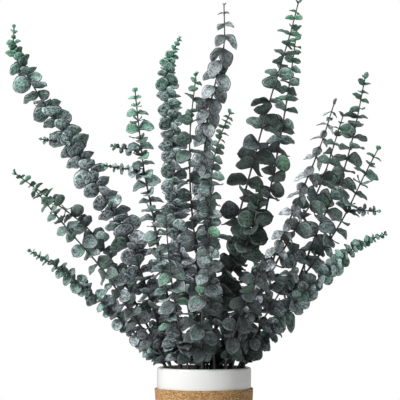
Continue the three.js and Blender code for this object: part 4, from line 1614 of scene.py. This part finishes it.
@dataclass
class Sleeve:
    """The cork sleeve round the pot, with a cut edge that isn't quite even."""

    steps: int = 192
    rows: int = 24
    inner_every: int = 4
    edge_steps: int = 3
    edge: float = 0.5
    ripple: float = 0.5
    ripple_from: float = 80.0
    ripple_scale: float = 2.2
    ripple_place: float = 3.0
    skin: float = 1.2
    roughness: float = 0.22
    rough_scale: float = 260.0
    flare: float = 0.4

    def _inner(self, z: float) -> float:
        """The radius of its inner face at a height, in mm."""
        return pot_radius(z) + SLEEVE_GAP

    def _outer(self, z: float) -> float:
        """The radius of its outer face at a height, in mm."""
        return self._inner(z) + SLEEVE_THICK

    def build(self, cork: bpy.types.Material) -> bpy.types.Object:
        """Build the sleeve.

        Args:
            cork: Its material.

        Returns:
            The piece.
        """
        bottom, top, edge = SLEEVE_BOTTOM, SLEEVE_TOP, self.edge
        heights = [mix(bottom + 1, top - 1, i / self.rows) for i in range(self.rows + 1)]
        profile = [
            (self._inner(bottom), bottom),
            *arc(self._outer(bottom) - edge, bottom + edge, edge, -90, 0, self.edge_steps),
            *[(self._outer(z), z) for z in heights],
            *arc(self._outer(top) - edge, top - edge, edge, 0, 90, self.edge_steps),
            (self._inner(top), top),
            *[(self._inner(z), z) for z in reversed(heights[::self.inner_every])],
            (self._inner(bottom), bottom),
        ]
        bm = lathe(profile, self.steps)
        for vert in bm.verts:
            self._roughen(vert)
        return new_piece("cork_sleeve", bm, (cork,), "sleeve")

    def _roughen(self, vert: bmesh.types.BMVert) -> None:
        """Make the upper edge uneven and the outer face a little rough.

        Args:
            vert: The point to move.
        """
        angle = math.atan2(vert.co.y, vert.co.x)
        high = max(0.0, (vert.co.z / MM - self.ripple_from) / (SLEEVE_TOP - self.ripple_from))
        wide = self.ripple_scale
        around = Vector((math.cos(angle) * wide, math.sin(angle) * wide, self.ripple_place))
        vert.co.z += high * noise.noise(around) * self.ripple * MM
        radius = math.hypot(vert.co.x, vert.co.y)
        if radius > (pot_radius(vert.co.z / MM) + self.skin) * MM:
            grain = noise.noise(vert.co * self.rough_scale) * self.roughness
            grain += high * max(0.0, -math.cos(angle)) * self.flare
            vert.co.x *= 1 + grain * MM / radius
            vert.co.y *= 1 + grain * MM / radius


@dataclass(frozen=True)
class Lamp:
    """A square soft light: its place and its side in metres, its power in watts."""

    name: str
    where: Point
    side: float
    power: float


@dataclass
class Studio:
    """The floor, the lights, the background and the camera. Lengths in metres."""

    lamps: tuple[Lamp, ...] = (
        Lamp("key", (-2.0, -1.6, 1.3), 0.9, 104.0),
        Lamp("fill", (1.9, -1.4, 0.7), 1.6, 3.0),
        Lamp("top", (-0.2, 0.3, 2.2), 1.2, 22.0),
    )
    floor_radius: float = 1.0
    distance: float = VIEW_DISTANCE * MM
    lens: float = 270.0
    far_end: float = 50.0
    ambient: float = 0.4
    air: Colour = (0.97, 0.985, 1.0)
    aim: Point = (0.0, 0.0, 0.25)

    def build(self) -> None:
        """Set up everything round the object."""
        self._floor()
        self._world()
        for lamp in self.lamps:
            self._light(lamp)
        camera = bpy.data.objects.new("camera", bpy.data.cameras.new("camera"))
        camera.data.lens = self.lens
        camera.data.clip_end = self.far_end
        camera.location = (VIEW_X * MM, -self.distance, VIEW_Z * MM)
        camera.rotation_euler = (math.pi / 2, 0.0, 0.0)
        bpy.context.scene.collection.objects.link(camera)
        bpy.context.scene.camera = camera
        bpy.context.scene.view_settings.view_transform = "Standard"

    def _floor(self) -> None:
        """Lay the round pale floor."""
        bm = bmesh.new()
        bmesh.ops.create_circle(bm, cap_ends=True, segments=96, radius=self.floor_radius)
        mesh = bpy.data.meshes.new("floor")
        bm.to_mesh(mesh)
        bm.free()
        mesh.materials.append(FloorFinish().material())
        floor = bpy.data.objects.new("floor", mesh)
        bpy.context.scene.collection.objects.link(floor)

    def _world(self) -> None:
        """Give the scene a white background and even light."""
        world = bpy.data.worlds.new("studio")
        bpy.context.scene.world = world
        world.use_nodes = True
        tree = world.node_tree
        tree.nodes.clear()
        seen = tree.nodes.new("ShaderNodeBackground")
        seen.inputs[0].default_value = (1, 1, 1, 1)
        seen.inputs[1].default_value = 1.0
        lit = tree.nodes.new("ShaderNodeBackground")
        lit.inputs[0].default_value = (*self.air, 1.0)
        lit.inputs[1].default_value = self.ambient
        ray = tree.nodes.new("ShaderNodeLightPath")
        both = tree.nodes.new("ShaderNodeMixShader")
        out = tree.nodes.new("ShaderNodeOutputWorld")
        tree.links.new(ray.outputs["Is Camera Ray"], both.inputs[0])
        tree.links.new(lit.outputs[0], both.inputs[1])
        tree.links.new(seen.outputs[0], both.inputs[2])
        tree.links.new(both.outputs[0], out.inputs[0])

    def _light(self, lamp: Lamp) -> None:
        """Hang a light that faces the bunch.

        Args:
            lamp: The light.
        """
        data = bpy.data.lights.new(lamp.name, "AREA")
        data.size = lamp.side
        data.energy = lamp.power
        light = bpy.data.objects.new(lamp.name, data)
        light.location = lamp.where
        way = Vector(self.aim) - Vector(lamp.where)
        light.rotation_euler = way.to_track_quat("-Z", "Y").to_euler()
        bpy.context.scene.collection.objects.link(light)


def main() -> None:
    """Build every piece in order, then the studio."""
    logging.basicConfig(level=logging.INFO, format="%(message)s")
    grove = Grove().grow()
    LOG.info("%d stems and shoots, %d leaves", len(grove.stems), len(grove.leaves))
    bark = BarkFinish().material()
    finishes = {finish.name: finish.material() for finish in (DUSTY, GREEN, GREY, DARK)}
    Pot().build(GlazeFinish().material())
    Sleeve().build(CorkFinish().material())
    for index, branch in enumerate(BRANCHES):
        LeafyBranch(branch, index, grove).build(bark, finishes[LEAF_FINISH[branch.kind].name])
    Studio().build()


if __name__ == "__main__":
    main()
